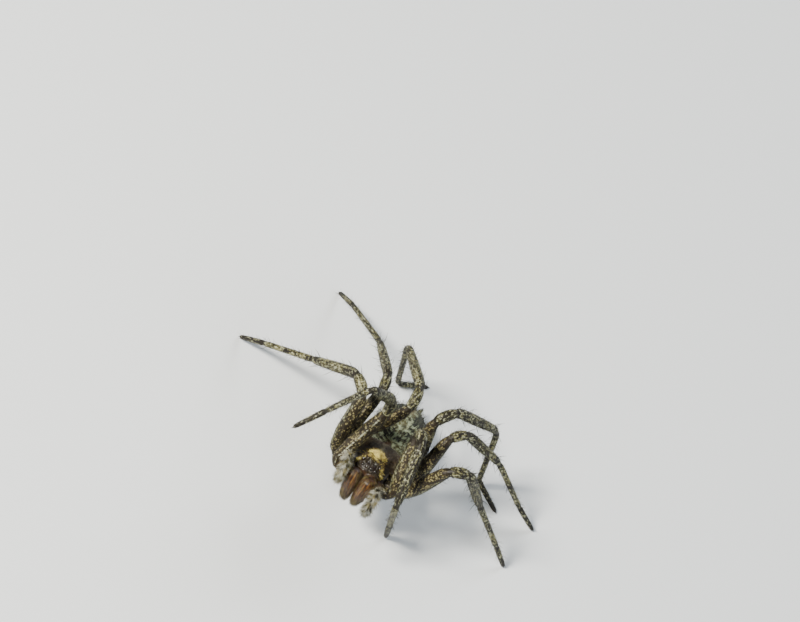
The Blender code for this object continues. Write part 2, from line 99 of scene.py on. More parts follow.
def smooth_curve(at: Array, stations: Sequence[float], values: Sequence[float]) -> Array:
    """Read a smooth curve through stations, without overshoot.

    Args:
        at: Where to read it.
        stations: Rising positions.
        values: The value at each station.

    Returns:
        The values at the asked positions.
    """
    xs, ys = np.asarray(stations, float), np.asarray(values, float)
    span = np.diff(xs)
    slope = np.diff(ys) / span
    tangent = np.zeros(len(xs))
    tangent[0], tangent[-1] = slope[0], slope[-1]
    rising = slope[:-1] * slope[1:] > 0.0
    product = 2.0 * slope[:-1] * slope[1:]
    total = np.where(rising, slope[:-1] + slope[1:], 1.0)
    tangent[1:-1] = np.where(rising, product / total, 0.0)
    place = np.clip(np.searchsorted(xs, at) - 1, 0, len(span) - 1)
    wide, part = span[place], np.clip((at - xs[place]) / span[place], 0.0, 1.0)
    square, cube = part ** 2, part ** 3
    start = (2.0 * cube - 3.0 * square + 1.0) * ys[place]
    start = start + (cube - 2.0 * square + part) * wide * tangent[place]
    end = (3.0 * square - 2.0 * cube) * ys[place + 1] + (cube - square) * wide * tangent[place + 1]
    return start + end


def limb_radius(at: Array, joints: Array, profile: Sequence[Rows], tip: float) -> Array:
    """Read a limb's radius.

    Args:
        at: Distances along the limb.
        joints: Distance of each joint.
        profile: For each length between joints, parts of it and the radius there.
        tip: Radius at the end.

    Returns:
        The radius at each distance.
    """
    stations, values = [], []
    for start, end, rows in zip(joints, joints[1:], profile):
        stations += [start + (end - start) * part for part, _ in rows]
        values += [value for _, value in rows]
    return smooth_curve(at, [*stations, joints[-1]], [*values, tip])


def bell(values: Array, centre: float, width: float) -> Array:
    """A smooth bump of height one, down to about a third at its half width."""
    return np.exp(-(((values - centre) / width) ** 2))


def ramp(values: Array, low: float, high: float) -> Array:
    """A smooth step from 0 at low to 1 at high."""
    part = np.clip((values - low) / (high - low), 0.0, 1.0)
    return part * part * (3.0 - 2.0 * part)


def patches(points: Array, size: float, seed: int) -> Array:
    """Soft random patches in space, the same each run.

    Args:
        points: Places in millimetres.
        size: Rough size of a patch in millimetres.
        seed: Which pattern.

    Returns:
        Values from about 0 to 1.
    """
    rng = np.random.default_rng(seed)
    total = np.zeros(points.shape[:-1])
    for _ in range(WAVES):
        way = unit(rng.normal(size=3))
        waves = points @ way * (math.tau / (size * rng.uniform(0.8, 1.9)))
        total += np.sin(waves + rng.uniform(0.0, math.tau))
    return 0.5 + total / 6.0


def circle(sides: int) -> Array:
    """Even angles around, without the last."""
    return np.linspace(0.0, math.tau, sides, endpoint=False)


def bow(start: Array, bend: Array, end: Array, count: int) -> Array:
    """Points on a curve that leaves for the bend and turns to the end."""
    part = np.linspace(0.0, 1.0, count)[:, None]
    return (1 - part) ** 2 * start + 2 * part * (1 - part) * bend + part ** 2 * end


def on_floor(grid: Array) -> Array:
    """Flatten a skin's grid where it would pass the floor."""
    grid[:, :, 2] = np.maximum(grid[:, :, 2], SOLE_CLEARANCE)
    return grid


# The stance, as in the solids


@dataclass(frozen=True)
class Body:
    """Where the head and thorax stand, and how the abdomen hangs behind them."""

    pitch: float = math.radians(24.0)
    roll: float = math.radians(8.0)
    height: float = 4.9
    pedicel_end: Place = (0.0, 2.86, -0.06)
    abdomen_pitch: float = math.radians(26.0)
    abdomen_gap: float = 0.26

    def matrix(self) -> Matrix:
        """From the frame of the head and thorax to the layout."""
        turn = Matrix.Rotation(-self.pitch, 4, "X") @ Matrix.Rotation(-self.roll, 4, "Y")
        return Matrix.Translation((0.0, 0.0, self.height)) @ turn

    def place(self, points: Array, back: bool = False) -> Array:
        """Carry points from the frame of the head and thorax into the layout, or back."""
        matrix = np.array(self.matrix().inverted() if back else self.matrix())
        return points @ matrix[:3, :3].T + matrix[:3, 3]

    def local(self, points: Array) -> Array:
        """Carry points from the layout into the frame of the head and thorax."""
        return self.place(points, back=True)

    def abdomen_axes(self) -> tuple[Array, Array, Array, Array]:
        """Say where the abdomen starts and how it lies.

        Returns:
            Start point and the along, side and up directions.
        """
        along = Vector((0.0, math.cos(self.abdomen_pitch), -math.sin(self.abdomen_pitch)))
        side = Matrix.Rotation(-self.roll, 3, along) @ Vector((1.0, 0.0, 0.0))
        start = self.matrix() @ Vector(self.pedicel_end) + along * self.abdomen_gap
        return np.array(start), np.array(along), np.array(side), np.array(side.cross(along))


BODY = Body()
# Step up from a straight skin's middle line, to the side where its grid starts
RISE = np.array((0.0, 0.0, 0.1))


def mirrored(points: Sequence[float] | Array, side: Side) -> Array:
    """Points of the left side carried to the given side of the body."""
    return np.asarray(points) * np.array((side.value, 1.0, 1.0))


def direction(side: Side, turn: float, rise: float) -> Array:
    """Direction of a limb's segment.

    Args:
        side: Side of the body.
        turn: Degrees from straight out towards the front.
        rise: Degrees above the level.

    Returns:
        A vector of length one.
    """
    turn, rise = math.radians(turn), math.radians(rise)
    level = math.cos(rise)
    return np.array((side.value * math.cos(turn) * level, -math.sin(turn) * level, math.sin(rise)))


class CentreLine:
    """A limb's centre line with a frame that is carried along it without twisting."""

    def __init__(
        self, points: Array, corners: Sequence[Array], joints: Sequence[float] = (0.0, 1.0)
    ) -> None:
        """Keep the line and carry its dorsal side from the sharpest bend to both ends.

        Args:
            points: Evenly spaced points.
            corners: Joint points, from which the outer side of the sharpest bend is read.
            joints: Distance of each joint along the line.
        """
        self.points = points
        self.joints = np.array(joints, float)
        self.tangent = unit(np.gradient(points, axis=0))
        ways = [unit(after - before) for before, after in zip(corners, corners[1:])]
        bends = [first - second for first, second in zip(ways[1:-2], ways[2:-1])]
        outer = max(bends or [ways[0] - ways[-1]], key=lambda bend: float(np.linalg.norm(bend)))
        knee = corners[2 if len(corners) > 4 else 1]
        start = int(np.argmin(np.linalg.norm(points - knee, axis=1)))
        self.dorsal = np.zeros_like(points)
        for step, stop in ((1, len(points)), (-1, -1)):
            last = outer
            for number in range(start, stop, step):
                way = self.tangent[number]
                last = unit(last - way * (last @ way))
                self.dorsal[number] = last
        self.across = np.cross(self.tangent, self.dorsal)
        curl = np.gradient(self.tangent, axis=0) / (self.length / (len(points) - 1))
        kernel = np.array((0.25, 0.5, 0.25))
        self.curl = np.stack([np.convolve(row, kernel, mode="same") for row in curl.T], axis=1)

    @classmethod
    def through(
        cls, corners: Sequence[Array], roundings: Sequence[float], spacing: float
    ) -> "CentreLine":
        """Lay a line through the corners and round each inner one.

        Args:
            corners: Joint points from the root outwards.
            roundings: Reach of the curve at each inner corner.
            spacing: Distance between the line's points.

        Returns:
            The line, evenly spaced, with each joint's distance along it.
        """
        path, middles = [corners[0]], []
        for before, corner, after, rounding in zip(corners, corners[1:], corners[2:], roundings):
            start = corner + unit(before - corner) * rounding
            end = corner + unit(after - corner) * rounding
            for part in np.linspace(0.0, 1.0, CORNER_STEPS):
                first = start + (corner - start) * part
                second = corner + (end - corner) * part
                path.append(first + (second - first) * part)
                if part == 0.5:
                    middles.append(len(path) - 1)
        raw = np.array([*path, corners[-1]])
        reach = np.concatenate([[0.0], np.cumsum(np.linalg.norm(np.diff(raw, axis=0), axis=1))])
        at = np.linspace(0.0, reach[-1], max(8, round(reach[-1] / spacing)) + 1)
        points = np.stack([np.interp(at, reach, raw[:, axis]) for axis in range(3)], axis=1)
        return cls(points, corners, [0.0, *reach[middles], reach[-1]])

    @property
    def length(self) -> float:
        """Length of the line."""
        return float(self.joints[-1])

    def tube(self, radius: Array, sides: int) -> Array:
        """Grid of a round tube on the line, folded in where a bend is tighter than the tube.

        Args:
            radius: Radius at each point of the line.
            sides: Points around.

        Returns:
            Grid of points, ring by ring, from the dorsal side round.
        """
        around = circle(sides)[None, :, None]
        offset = np.cos(around) * self.dorsal[:, None] + np.sin(around) * self.across[:, None]
        offset = offset * radius[:, None, None]
        tightness = np.linalg.norm(self.curl, axis=1)
        inward = unit(self.curl)[:, None]
        limit = (TIGHTEST_FOLD / np.maximum(tightness, 1e-6))[:, None]
        over = np.maximum(0.0, (offset * inward).sum(axis=2) - limit)
        return self.points[:, None] + offset - over[:, :, None] * inward


# Skins and hair


@dataclass
class Roots:
    """Places on a skin where hairs grow."""

    place: Array
    normal: Array
    lie: Array
    uv: Array

    def take(self, keep: Array) -> "Roots":
        """The roots that a mask picks."""
        return Roots(self.place[keep], self.normal[keep], self.lie[keep], self.uv[keep])


class Shell:
    """A closed skin given as a grid of points, with its rings from root to tip."""

    def __init__(self, grid: Array) -> None:
        """Keep the grid and measure its faces.

        Args:
            grid: Array of rings, sides and coordinates, in millimetres of the layout.
        """
        self.grid = grid
        after = np.roll(grid, -1, axis=1)
        first, second, third, fourth = grid[:-1], after[:-1], after[1:], grid[1:]
        normal = np.cross(third - first, fourth - second)
        self.area = np.linalg.norm(normal, axis=2) / 2.0
        self.middle = (first + second + third + fourth) / 4.0
        outward = self.middle - self.middle.mean(axis=1, keepdims=True)
        sign = np.sign((normal * outward).sum(axis=2, keepdims=True))
        self.normal = unit(normal) * np.where(sign == 0.0, 1.0, sign)
        self.lie = unit((fourth - first) + (third - second))
        rings, sides = self.area.shape
        along, around = (np.arange(rings) + 0.5) / rings, (np.arange(sides) + 0.5) / sides
        self.uv = np.stack(np.meshgrid(around, along), axis=2)

    @classmethod
    def rod(cls, path: Array, rise: Array, radius: Array, sides: int) -> "Shell":
        """A straight round skin.

        Args:
            path: Points of its middle line.
            rise: Step to the side where its grid starts.
            radius: Radius at each point.
            sides: Points around.

        Returns:
            The skin.
        """
        line = CentreLine(path, (path[0], path[len(path) // 2] + rise, path[-1]))
        return cls(line.tube(radius, sides))

    def vertex_uv(self) -> Array:
        """Unwrap of the vertices, with the two end points last.

        Returns:
            Around and along, from 0 to 1, for each vertex.
        """
        rings, sides = self.grid.shape[:2]
        uv = np.stack(np.meshgrid(np.arange(sides) / sides, np.linspace(0.0, 1.0, rings)), axis=2)
        return np.concatenate([uv.reshape(-1, 2), [[0.5, 0.0], [0.5, 1.0]]])

    def scatter(self, count: int, rng: Chance, share: Array | None = None) -> Roots:
        """Sow roots evenly over the skin, or by shares.

        Args:
            count: How many.
            rng: Seeded source of chance.
            share: Relative density of each face, or None for an even coat.

        Returns:
            The roots.
        """
        weight = self.area if share is None else self.area * share
        chance = weight.ravel() / weight.sum()
        picked = rng.choice(chance.size, size=count, p=chance)
        ring, side = np.unravel_index(picked, self.area.shape)
        along, around = rng.random(count), rng.random(count)
        sides = self.grid.shape[1]
        follow = (side + 1) % sides
        low, high = (
            self.grid[row, side] * (1.0 - around)[:, None] + self.grid[row, follow] * around[:, None]
            for row in (ring, ring + 1)
        )
        place = low * (1.0 - along)[:, None] + high * along[:, None]
        uv = np.stack([(side + around) / sides, (ring + along) / len(self.area)], axis=1)
        return Roots(place, self.normal[ring, side], self.lie[ring, side], uv)

    def faces(self) -> list[tuple[int, ...]]:
        """Join the grid by quads, and close each end by a fan around one added point.

        Returns:
            The vertices' numbers for each face.
        """
        rings, sides = self.grid.shape[:2]
        follow = [(side + 1) % sides for side in range(sides)]
        result: list[tuple[int, ...]] = []
        for start in range(0, (rings - 1) * sides, sides):
            for side, after in enumerate(follow):
                result.append((start + side, start + after, start + sides + after, start + sides + side))
        last = (rings - 1) * sides
        for side, after in enumerate(follow):
            result.append((after, side, rings * sides))
            result.append((last + side, last + after, rings * sides + 1))
        return result

    def build(self, name: str, marks: Marks | None = None) -> Piece:
        """Make the skin as a mesh object in millimetres of the layout, with its faces pointing out.

        Args:
            name: Name of the piece.
            marks: Marking function of places, unwrap around and unwrap along.

        Returns:
            The object.
        """
        ends = np.stack([self.grid[0].mean(axis=0), self.grid[-1].mean(axis=0)])
        points = np.concatenate([self.grid.reshape(-1, 3), ends])
        mesh = bpy.data.meshes.new(name)
        mesh.from_pydata([tuple(point) for point in points], [], self.faces())
        shape = bmesh.new()
        shape.from_mesh(mesh)
        bmesh.ops.recalc_face_normals(shape, faces=shape.faces)
        shape.to_mesh(mesh)
        shape.free()
        piece = link(name, mesh)
        if marks:
            write(piece, "marks", marks(points, *self.vertex_uv().T))
        return piece


def link(name: str, data: bpy.types.ID) -> Piece:
    """Make an object and link it to the scene.

    Args:
        name: Name of the object.
        data: Its mesh, lamp or camera.

    Returns:
        The object.
    """
    piece = bpy.data.objects.new(name, data)
    bpy.context.scene.collection.objects.link(piece)
    return piece


def write(piece: Piece, name: str, values: Array) -> None:
    """Store an attribute on the vertices.

    Args:
        piece: Mesh object.
        name: Name of the attribute.
        values: One number or one vector for each vertex.
    """
    kind, key = ("FLOAT", "value") if values.ndim == 1 else ("FLOAT_VECTOR", "vector")
    attribute = piece.data.attributes.new(name, kind, "POINT")
    attribute.data.foreach_set(key, values.astype(np.float32).ravel())


def select(*pieces: Piece) -> None:
    """Select the pieces alone, with the first one active."""
    bpy.ops.object.select_all(action="DESELECT")
    for piece in pieces:
        piece.select_set(True)
    bpy.context.view_layer.objects.active = pieces[0]


def added(name: str) -> Piece:
    """Name the shape that was just added and apply its place.

    Args:
        name: Name of the piece.

    Returns:
        The piece, with its place in its mesh.
    """
    piece = bpy.context.view_layer.objects.active
    piece.name = piece.data.name = name
    bpy.ops.object.transform_apply(location=True, rotation=True, scale=True)
    return piece


def join_pieces(name: str, pieces: Sequence[Piece]) -> Piece:
    """Join mesh objects into the first and name it.

    Args:
        name: Name of the joined piece.
        pieces: Mesh objects.

    Returns:
        The joined piece.
    """
    select(*pieces)
    bpy.ops.object.join()
    pieces[0].name = pieces[0].data.name = name
    return pieces[0]


@dataclass(frozen=True)
class HairStyle:
    """One kind of hair: its size, how it stands, how it bends and a tint of its own."""

    length: tuple[float, float]
    radius: float
    lift: tuple[float, float]
    sway: float = 0.25
    bend: float = 0.5
    tint: float | None = None

    def grow(self, roots: Roots, marks: Marks, rng: Chance) -> "Hairs":
        """Grow one hair on each root.

        Args:
            roots: Where they grow.
            marks: Marking function of the skin.
            rng: Seeded source of chance.

        Returns:
            The hairs.
        """
        count = len(roots.place)
        lift = np.radians(rng.uniform(*self.lift, count))[:, None]
        across = np.cross(roots.normal, roots.lie)
        lie = unit(roots.lie + across * rng.normal(0.0, self.sway, count)[:, None])
        way = unit(np.cos(lift) * lie + np.sin(lift) * roots.normal)
        late = unit(way + self.bend * (lie - 0.25 * roots.normal))
        length = rng.uniform(*self.length, count)[:, None]
        girth = self.radius * rng.uniform(0.75, 1.2, count)[:, None]
        broad = unit(np.cross(way, roots.normal) + 1e-4)
        deep = np.cross(way, broad)
        base = roots.place - roots.normal * ROOT_DEPTH
        middle = base + way * length * 0.5
        points = np.empty((count, 7, 3))
        for number in range(3):
            angle = math.tau * (number / 3.0 + 0.25)
            spoke = (broad * math.cos(angle) + deep * math.sin(angle)) * girth
            points[:, number] = base + spoke
            points[:, 3 + number] = middle + spoke * HAIR_MIDDLE_GIRTH
        points[:, 6] = middle + late * length * 0.5
        shades = marks(roots.place, *roots.uv.T)
        if self.tint is not None:
            shades[:, 2] = self.tint
        return Hairs(points, roots.uv, shades, roots.place, rng.random(count))

    def sow(
        self, shell: Shell, count: int, marks: Marks, rng: Chance, share: Array | None = None
    ) -> "Hairs":
        """Sow roots on a skin, as its scatter does, and grow a hair on each."""
        return self.grow(shell.scatter(count, rng, share), marks, rng)


Coat = tuple[tuple[HairStyle, int], ...]


@dataclass
class Hairs:
    """Many hairs as arrays: seven points each, with the root's unwrap place and markings."""

    points: Array
    uv: Array
    marks: Array
    roots: Array
    lot: Array

    @classmethod
    def joined(cls, groups: Sequence["Hairs"]) -> "Hairs":
        """All hairs of several groups."""
        names = ("points", "uv", "marks", "roots", "lot")
        return cls(*(np.concatenate([getattr(group, name) for group in groups]) for name in names))

    def take(self, keep: Array) -> "Hairs":
        """The hairs that a mask picks."""
        return Hairs(self.points[keep], self.uv[keep], self.marks[keep], self.roots[keep], self.lot[keep])

    def above_floor(self) -> "Hairs":
        """Leave out the hairs that would pass the floor."""
        return self.take(self.points[:, :, 2].min(axis=1) > 0.0)

    def build(self, name: str) -> Piece:
        """Make the hairs one mesh of closed blades, with the bake's unwrap.

        Args:
            name: Name of the piece.

        Returns:
            The object, in millimetres of the layout.
        """
        count = len(self.points)
        blade = [(0, 2, 1), (3, 4, 6), (4, 5, 6), (5, 3, 6)]
        for first, second in ((0, 1), (1, 2), (2, 0)):
            blade += [(first, second, 3 + second), (first, 3 + second, 3 + first)]
        corners = (np.arange(count)[:, None, None] * 7 + np.array(blade)[None]).reshape(-1)
        mesh = bpy.data.meshes.new(name)
        mesh.vertices.add(count * 7)
        mesh.vertices.foreach_set("co", self.points.astype(np.float32).ravel())
        mesh.loops.add(len(corners))
        mesh.loops.foreach_set("vertex_index", corners.astype(np.int32))
        mesh.polygons.add(len(corners) // 3)
        mesh.polygons.foreach_set("loop_start", np.arange(0, len(corners), 3, dtype=np.int32))
        mesh.update(calc_edges=True)
        patch = np.array([(0, 0), (1, 0), (0.5, 0.2), (0, 0.6), (1, 0.6), (0.5, 0.7), (0.5, 1)])
        spread = self.uv[:, None] * (1.0 - BAKE_PATCH) + patch[None] * BAKE_PATCH
        layer = mesh.uv_layers.new(name="OFBake")
        layer.data.foreach_set("uv", spread.reshape(-1, 2)[corners].astype(np.float32).ravel())
        piece = link(name, mesh)
        write(piece, "marks", np.repeat(self.marks, 7, axis=0))
        write(piece, "lot", np.repeat(self.lot, 7))
        write(piece, "root", np.repeat(LAYOUT.row(self.roots), 7, axis=0))
        return piece


class Layout:
    """Carries the layout's millimetres into the row's frame."""

    def __init__(self, shift: Array) -> None:
        """Keep how far the solids were moved, in millimetres."""
        self.shift = shift

    def row(self, points: Array) -> Array:
        """Points in metres of the row's frame."""
        return (points + self.shift) * METRES_PER_MM

    def settle(self, piece: Piece) -> None:
        """Move a finished mesh into the row's frame and leave its object at the origin."""
        piece.data.transform(Matrix.Scale(METRES_PER_MM, 4) @ Matrix.Translation(Vector(self.shift)))
        piece.data.update()


# Shader building


class Value:
    """A shader socket that takes part in Python's arithmetic."""

    def __init__(self, paint: "Paint", socket: Any) -> None:
        """Wrap one output socket of a material."""
        self.paint = paint
        self.socket = socket

    def combine(self, operation: str, first: Any, second: Any) -> "Value":
        """Join two values or numbers by a Math node."""
        return self.paint.value("ShaderNodeMath", {"operation": operation}, {0: first, 1: second})

    def __add__(self, other: Any) -> "Value":
        """Sum."""
        return self.combine("ADD", self, other)

    def __sub__(self, other: Any) -> "Value":
        """Difference."""
        return self.combine("SUBTRACT", self, other)

    def __rsub__(self, other: Any) -> "Value":
        """Difference from a number."""
        return self.combine("SUBTRACT", other, self)

    def __mul__(self, other: Any) -> "Value":
        """Product."""
        return self.combine("MULTIPLY", self, other)


class Paint:
    """One material and the nodes that make it."""

    def __init__(self, name: str) -> None:
        """Start a material with a Principled shader.

        Args:
            name: Name of the material.
        """
        self.material = bpy.data.materials.new(name)
        self.material.use_nodes = True
        self.tree = self.material.node_tree
        self.shader = self.tree.nodes["Principled BSDF"]

    def node(self, kind: str, settings: dict[str, Any], inputs: dict[Any, Any]) -> Any:
        """Add a node.

        Args:
            kind: The node's type.
            settings: Its own settings, set first.
            inputs: Values or links of its sockets, by name or number.

        Returns:
            The node.
        """
        node = self.tree.nodes.new(kind)
        for name, setting in settings.items():
            setattr(node, name, setting)
        for name, source in inputs.items():
            self.feed(node.inputs[name], source)
        return node

    def value(
        self, kind: str, settings: dict[str, Any], inputs: dict[Any, Any], output: int | str = 0
    ) -> Value:
        """Add a node and take one of its outputs."""
        return Value(self, self.node(kind, settings, inputs).outputs[output])

    def feed(self, socket: Any, source: Any) -> None:
        """Link or set one input.

        Args:
            socket: The input.
            source: A value to link, or a number or colour to set.
        """
        if isinstance(source, Value):
            self.tree.links.new(source.socket, socket)
        elif isinstance(source, tuple) and len(source) == 3 and socket.type == "RGBA":
            socket.default_value = (*source, 1.0)
        else:
            socket.default_value = source

    def attribute(self, name: str, output: str = "Vector") -> Value:
        """A stored attribute of the piece."""
        return self.value("ShaderNodeAttribute", {"attribute_name": name}, {}, output)

    def marks(self) -> tuple[Value, Value, Value]:
        """The stored markings: dark, pale and tint."""
        node = self.node("ShaderNodeSeparateXYZ", {}, {0: self.attribute("marks")})
        return Value(self, node.outputs[0]), Value(self, node.outputs[1]), Value(self, node.outputs[2])

    def object_place(self) -> Value:
        """Object coordinates."""
        return self.value("ShaderNodeTexCoord", {}, {}, "Object")

    def noise(self, place: Value, per_mm: float, detail: float = 3.0) -> Value:
        """Noise of so many features a millimetre."""
        inputs = {"Vector": place, "Scale": per_mm / METRES_PER_MM, "Detail": detail, "Roughness": 0.6}
        return self.value("ShaderNodeTexNoise", {}, inputs)

    def spots(self, place: Value, per_mm: float) -> Value:
        """Distance from the nearest of scattered points."""
        inputs = {"Vector": place, "Scale": per_mm / METRES_PER_MM, "Randomness": 1.0}
        return self.value("ShaderNodeTexVoronoi", {}, inputs, "Distance")

    def cover(self, base: Any, top: Any, value: Value, low: float, high: float, share: float = 1.0) -> Value:
        """Lay a colour over another where a value passes smoothly from low to high.

        Args:
            base: The colour below.
            top: The colour laid over it.
            value: What decides where.
            low: Where the upper colour starts.
            high: Where it is full.
            share: How much of it shows there.

        Returns:
            The mixed colour.
        """
        inputs = {"Value": value, "From Min": low, "From Max": high, "To Max": share}
        factor = self.value("ShaderNodeMapRange", {"interpolation_type": "SMOOTHSTEP"}, inputs)
        return self.value("ShaderNodeMix", {"data_type": "RGBA"}, {0: factor, 6: base, 7: top}, 2)

    def bump(self, height: Value, depth_mm: float, strength: float) -> None:
        """Feed the shader's normal from a height."""
        inputs = {"Height": height, "Distance": depth_mm * METRES_PER_MM, "Strength": strength}
        self.feed(self.shader.inputs["Normal"], self.value("ShaderNodeBump", {}, inputs))

    def surface(self, **inputs: Any) -> bpy.types.Material:
        """Set the shader's own inputs.

        Args:
            inputs: Values or links by the input's name, with underscores for spaces.

        Returns:
            The material.
        """
        for name, source in inputs.items():
            self.feed(self.shader.inputs[name.replace("_", " ")], source)
        return self.material


@dataclass(frozen=True)
class CoatFinish:
    """A finish that skin and hair share: each hair takes the colour of its root's place."""

    name: str
    hair: bool = False

    def start(self) -> tuple[Paint, Value]:
        """Start the material, with the place that its colours are read at."""
        paint = Paint(self.name)
        return paint, paint.attribute("root") if self.hair else paint.object_place()


@dataclass(frozen=True)
class LimbFinish(CoatFinish):
    """Speckled skin and hair of legs and palps."""

    straw: Colour = (0.225, 0.210, 0.085)
    olive: Colour = (0.070, 0.064, 0.017)
    dark: Colour = (0.009, 0.0065, 0.003)
    grey: Colour = (0.40, 0.41, 0.29)
    buff: Colour = (0.27, 0.235, 0.105)
    umber: Colour = (0.019, 0.0130, 0.0055)

    def material(self) -> bpy.types.Material:
        """Make the material.

        Returns:
            The material.
        """
        paint, place = self.start()
        dark, pale, tint = paint.marks()
        fine = paint.noise(place, 7.0, 1.0)
        middle = paint.noise(place, 3.4, 1.5)
        blotch = fine * 1.10 + middle * 0.35 + dark * 0.36 - pale * 0.30
        ground = paint.cover(self.olive, self.straw, paint.noise(place, 1.6, 2.0), 0.42, 0.60)
        ground = paint.cover(ground, self.grey, fine, 0.44, 0.36, 0.65)
        colour = paint.cover(ground, self.dark, blotch, 0.690, 0.728)
        grain = paint.spots(place, 6.3) + dark * 0.25 + paint.noise(place, 1.4, 2.0) * 0.5
        pebbles = paint.cover(self.buff, self.umber, grain, 0.57, 0.65)
        colour = paint.cover(colour, pebbles, tint, 0.15, 0.45)
        colour = paint.cover(colour, self.grey, pale + fine * 0.5, 0.70, 0.95)
        if self.hair:
            lot = paint.attribute("lot", "Fac")
            colour = paint.cover(colour, self.grey, lot, 0.80, 1.0, 0.25)
            colour = paint.cover(colour, self.dark, tint, 0.9, 1.0)
            return paint.surface(Base_Color=colour, Roughness=0.5, Specular_IOR_Level=0.25)
        paint.bump(paint.noise(place, 9.0), 0.03, 0.7)
        return paint.surface(Base_Color=colour, Roughness=0.5, Specular_IOR_Level=0.3)


@dataclass(frozen=True)
class ThoraxFinish(CoatFinish):
    """Red-brown wall of head and thorax, and the hair on it."""

    wall: Colour = (0.042, 0.019, 0.007)
    deep: Colour = (0.010, 0.005, 0.0025)
    grey: Colour = (0.22, 0.19, 0.105)
    gold: Colour = (0.90, 0.78, 0.22)
    brass: Colour = (0.27, 0.185, 0.045)
    # White hair, also laid among the eyes as painted glints
    white_and_glint: Colour = (0.66, 0.66, 0.60)

    def material(self) -> bpy.types.Material:
        """Make the material.

        Returns:
            The material.
        """
        paint, place = self.start()
        dark, pale, tint = paint.marks()
        cloud = paint.noise(place, 2.4, 4.0)
        colour = paint.cover(self.wall, self.deep, cloud * 0.8 + dark * 0.5, 0.45, 0.75)
        colour = paint.cover(colour, self.grey, pale + cloud * 0.5, 0.55, 0.90)
        if self.hair:
            lot = paint.attribute("lot", "Fac")
            colour = paint.cover(colour, self.grey, lot, 0.35, 1.0, 0.45)
            shine = paint.noise(place, 4.6, 1.0) + lot * 0.16
            glow = paint.cover(self.brass, self.gold, shine, 0.52, 0.62)
            glow = paint.cover(glow, self.wall, lot, 0.25, 0.0, 0.7)
            glow = paint.cover(glow, self.white_and_glint, lot, 0.86, 1.0, 0.4)
            colour = paint.cover(colour, glow, tint, 0.5, 0.9)
            # Tint 2: the hairs among the eyes, white hair and partly painted glints of the eyes
            colour = paint.cover(colour, self.white_and_glint, tint, 1.5, 1.8)
            return paint.surface(Base_Color=colour, Roughness=0.45, Specular_IOR_Level=0.35)
        paint.bump(paint.noise(place, 7.0, 4.0), 0.03, 0.6)
        return paint.surface(Base_Color=colour, Roughness=0.36, Coat_Weight=0.15)


@dataclass(frozen=True)
class AbdomenFinish(CoatFinish):
    """Mottled skin and hair of the abdomen."""

    brown: Colour = (0.110, 0.098, 0.036)
    dark: Colour = (0.009, 0.0095, 0.004)
    pale: Colour = (0.50, 0.56, 0.36)
    warm: Colour = (0.130, 0.084, 0.030)

    def material(self) -> bpy.types.Material:
        """Make the material.

        Returns:
            The material.
        """
        paint, place = self.start()
        dark, pale, tint = paint.marks()
        fine = paint.noise(place, 7.2, 1.0)
        cloud = paint.noise(place, 2.6, 2.0)
        colour = paint.cover(self.brown, self.warm, tint, 0.2, 0.8)
        light = pale + fine * 1.4 + cloud * 0.6 - 1.12
        colour = paint.cover(colour, self.pale, light, 0.17, 0.27)
        shade = dark + fine * 1.4 - cloud * 0.6 - 0.46
        colour = paint.cover(colour, self.dark, shade, 0.21, 0.31)
        if self.hair:
            lot = paint.attribute("lot", "Fac")
            colour = paint.cover(colour, self.pale, lot, 0.7, 1.0, 0.35)
            return paint.surface(Base_Color=colour, Roughness=0.5, Specular_IOR_Level=0.3)
        paint.bump(paint.noise(place, 6.0), 0.04, 0.7)
        return paint.surface(Base_Color=colour, Roughness=0.55)


@dataclass(frozen=True)
class JawFinish:
    """Glossy orange-brown shell of the jaws, with lengthwise streaks, darker towards the fangs and lighter
    on the swollen base by a painted highlight.
    """

    name: str
    bright: Colour = (0.200, 0.088, 0.016)
    middle: Colour = (0.042, 0.014, 0.0035)
    deep: Colour = (0.010, 0.0045, 0.0025)
    stretch: tuple[float, float, float] = (1.0, 1.0, 0.11)

    def material(self) -> bpy.types.Material:
        """Make the material.

        Returns:
            The material.
        """
        paint = Paint(self.name)
        settings, inputs = {"operation": "MULTIPLY"}, {0: paint.attribute("streak"), 1: self.stretch}
        along = paint.value("ShaderNodeVectorMath", settings, inputs)
        inputs = {"Vector": along, "Scale": 5.0, "Detail": 3.0, "Roughness": 0.65}
        streak = paint.value("ShaderNodeTexNoise", {}, inputs)
        dark, pale, _ = paint.marks()
        cloud = paint.noise(paint.object_place(), 1.9, 4.0)
        # pale carries the painted highlight on the jaw's swollen base, which lightens the colour there
        shade = streak * 2.1 + cloud * 0.4 + dark * 0.6 - pale * 0.2 - 0.56
        colour = paint.cover(self.bright, self.middle, shade, 0.44, 0.62)
        colour = paint.cover(colour, self.deep, shade, 0.68, 0.98)
        paint.bump(streak, 0.05, 0.8)
        rough = 0.50 - streak * 0.3
        return paint.surface(Base_Color=colour, Roughness=rough, Coat_Weight=0.12, Coat_Roughness=0.2)


@dataclass(frozen=True)
class PlainFinish:
    """A finish of one colour with slight clouding: fangs, claws, eyes and the floor."""

    name: str
    colour: Colour
    second: Colour
    roughness: float
    coat: float = 0.0
    per_mm: float = 2.0

    def material(self) -> bpy.types.Material:
        """Make the material.

        Returns:
            The material.
        """
        paint = Paint(self.name)
        cloud = paint.noise(paint.object_place(), self.per_mm)
        colour = paint.cover(self.colour, self.second, cloud, 0.35, 0.65)
        return paint.surface(Base_Color=colour, Roughness=self.roughness, Coat_Weight=self.coat)


# Pieces


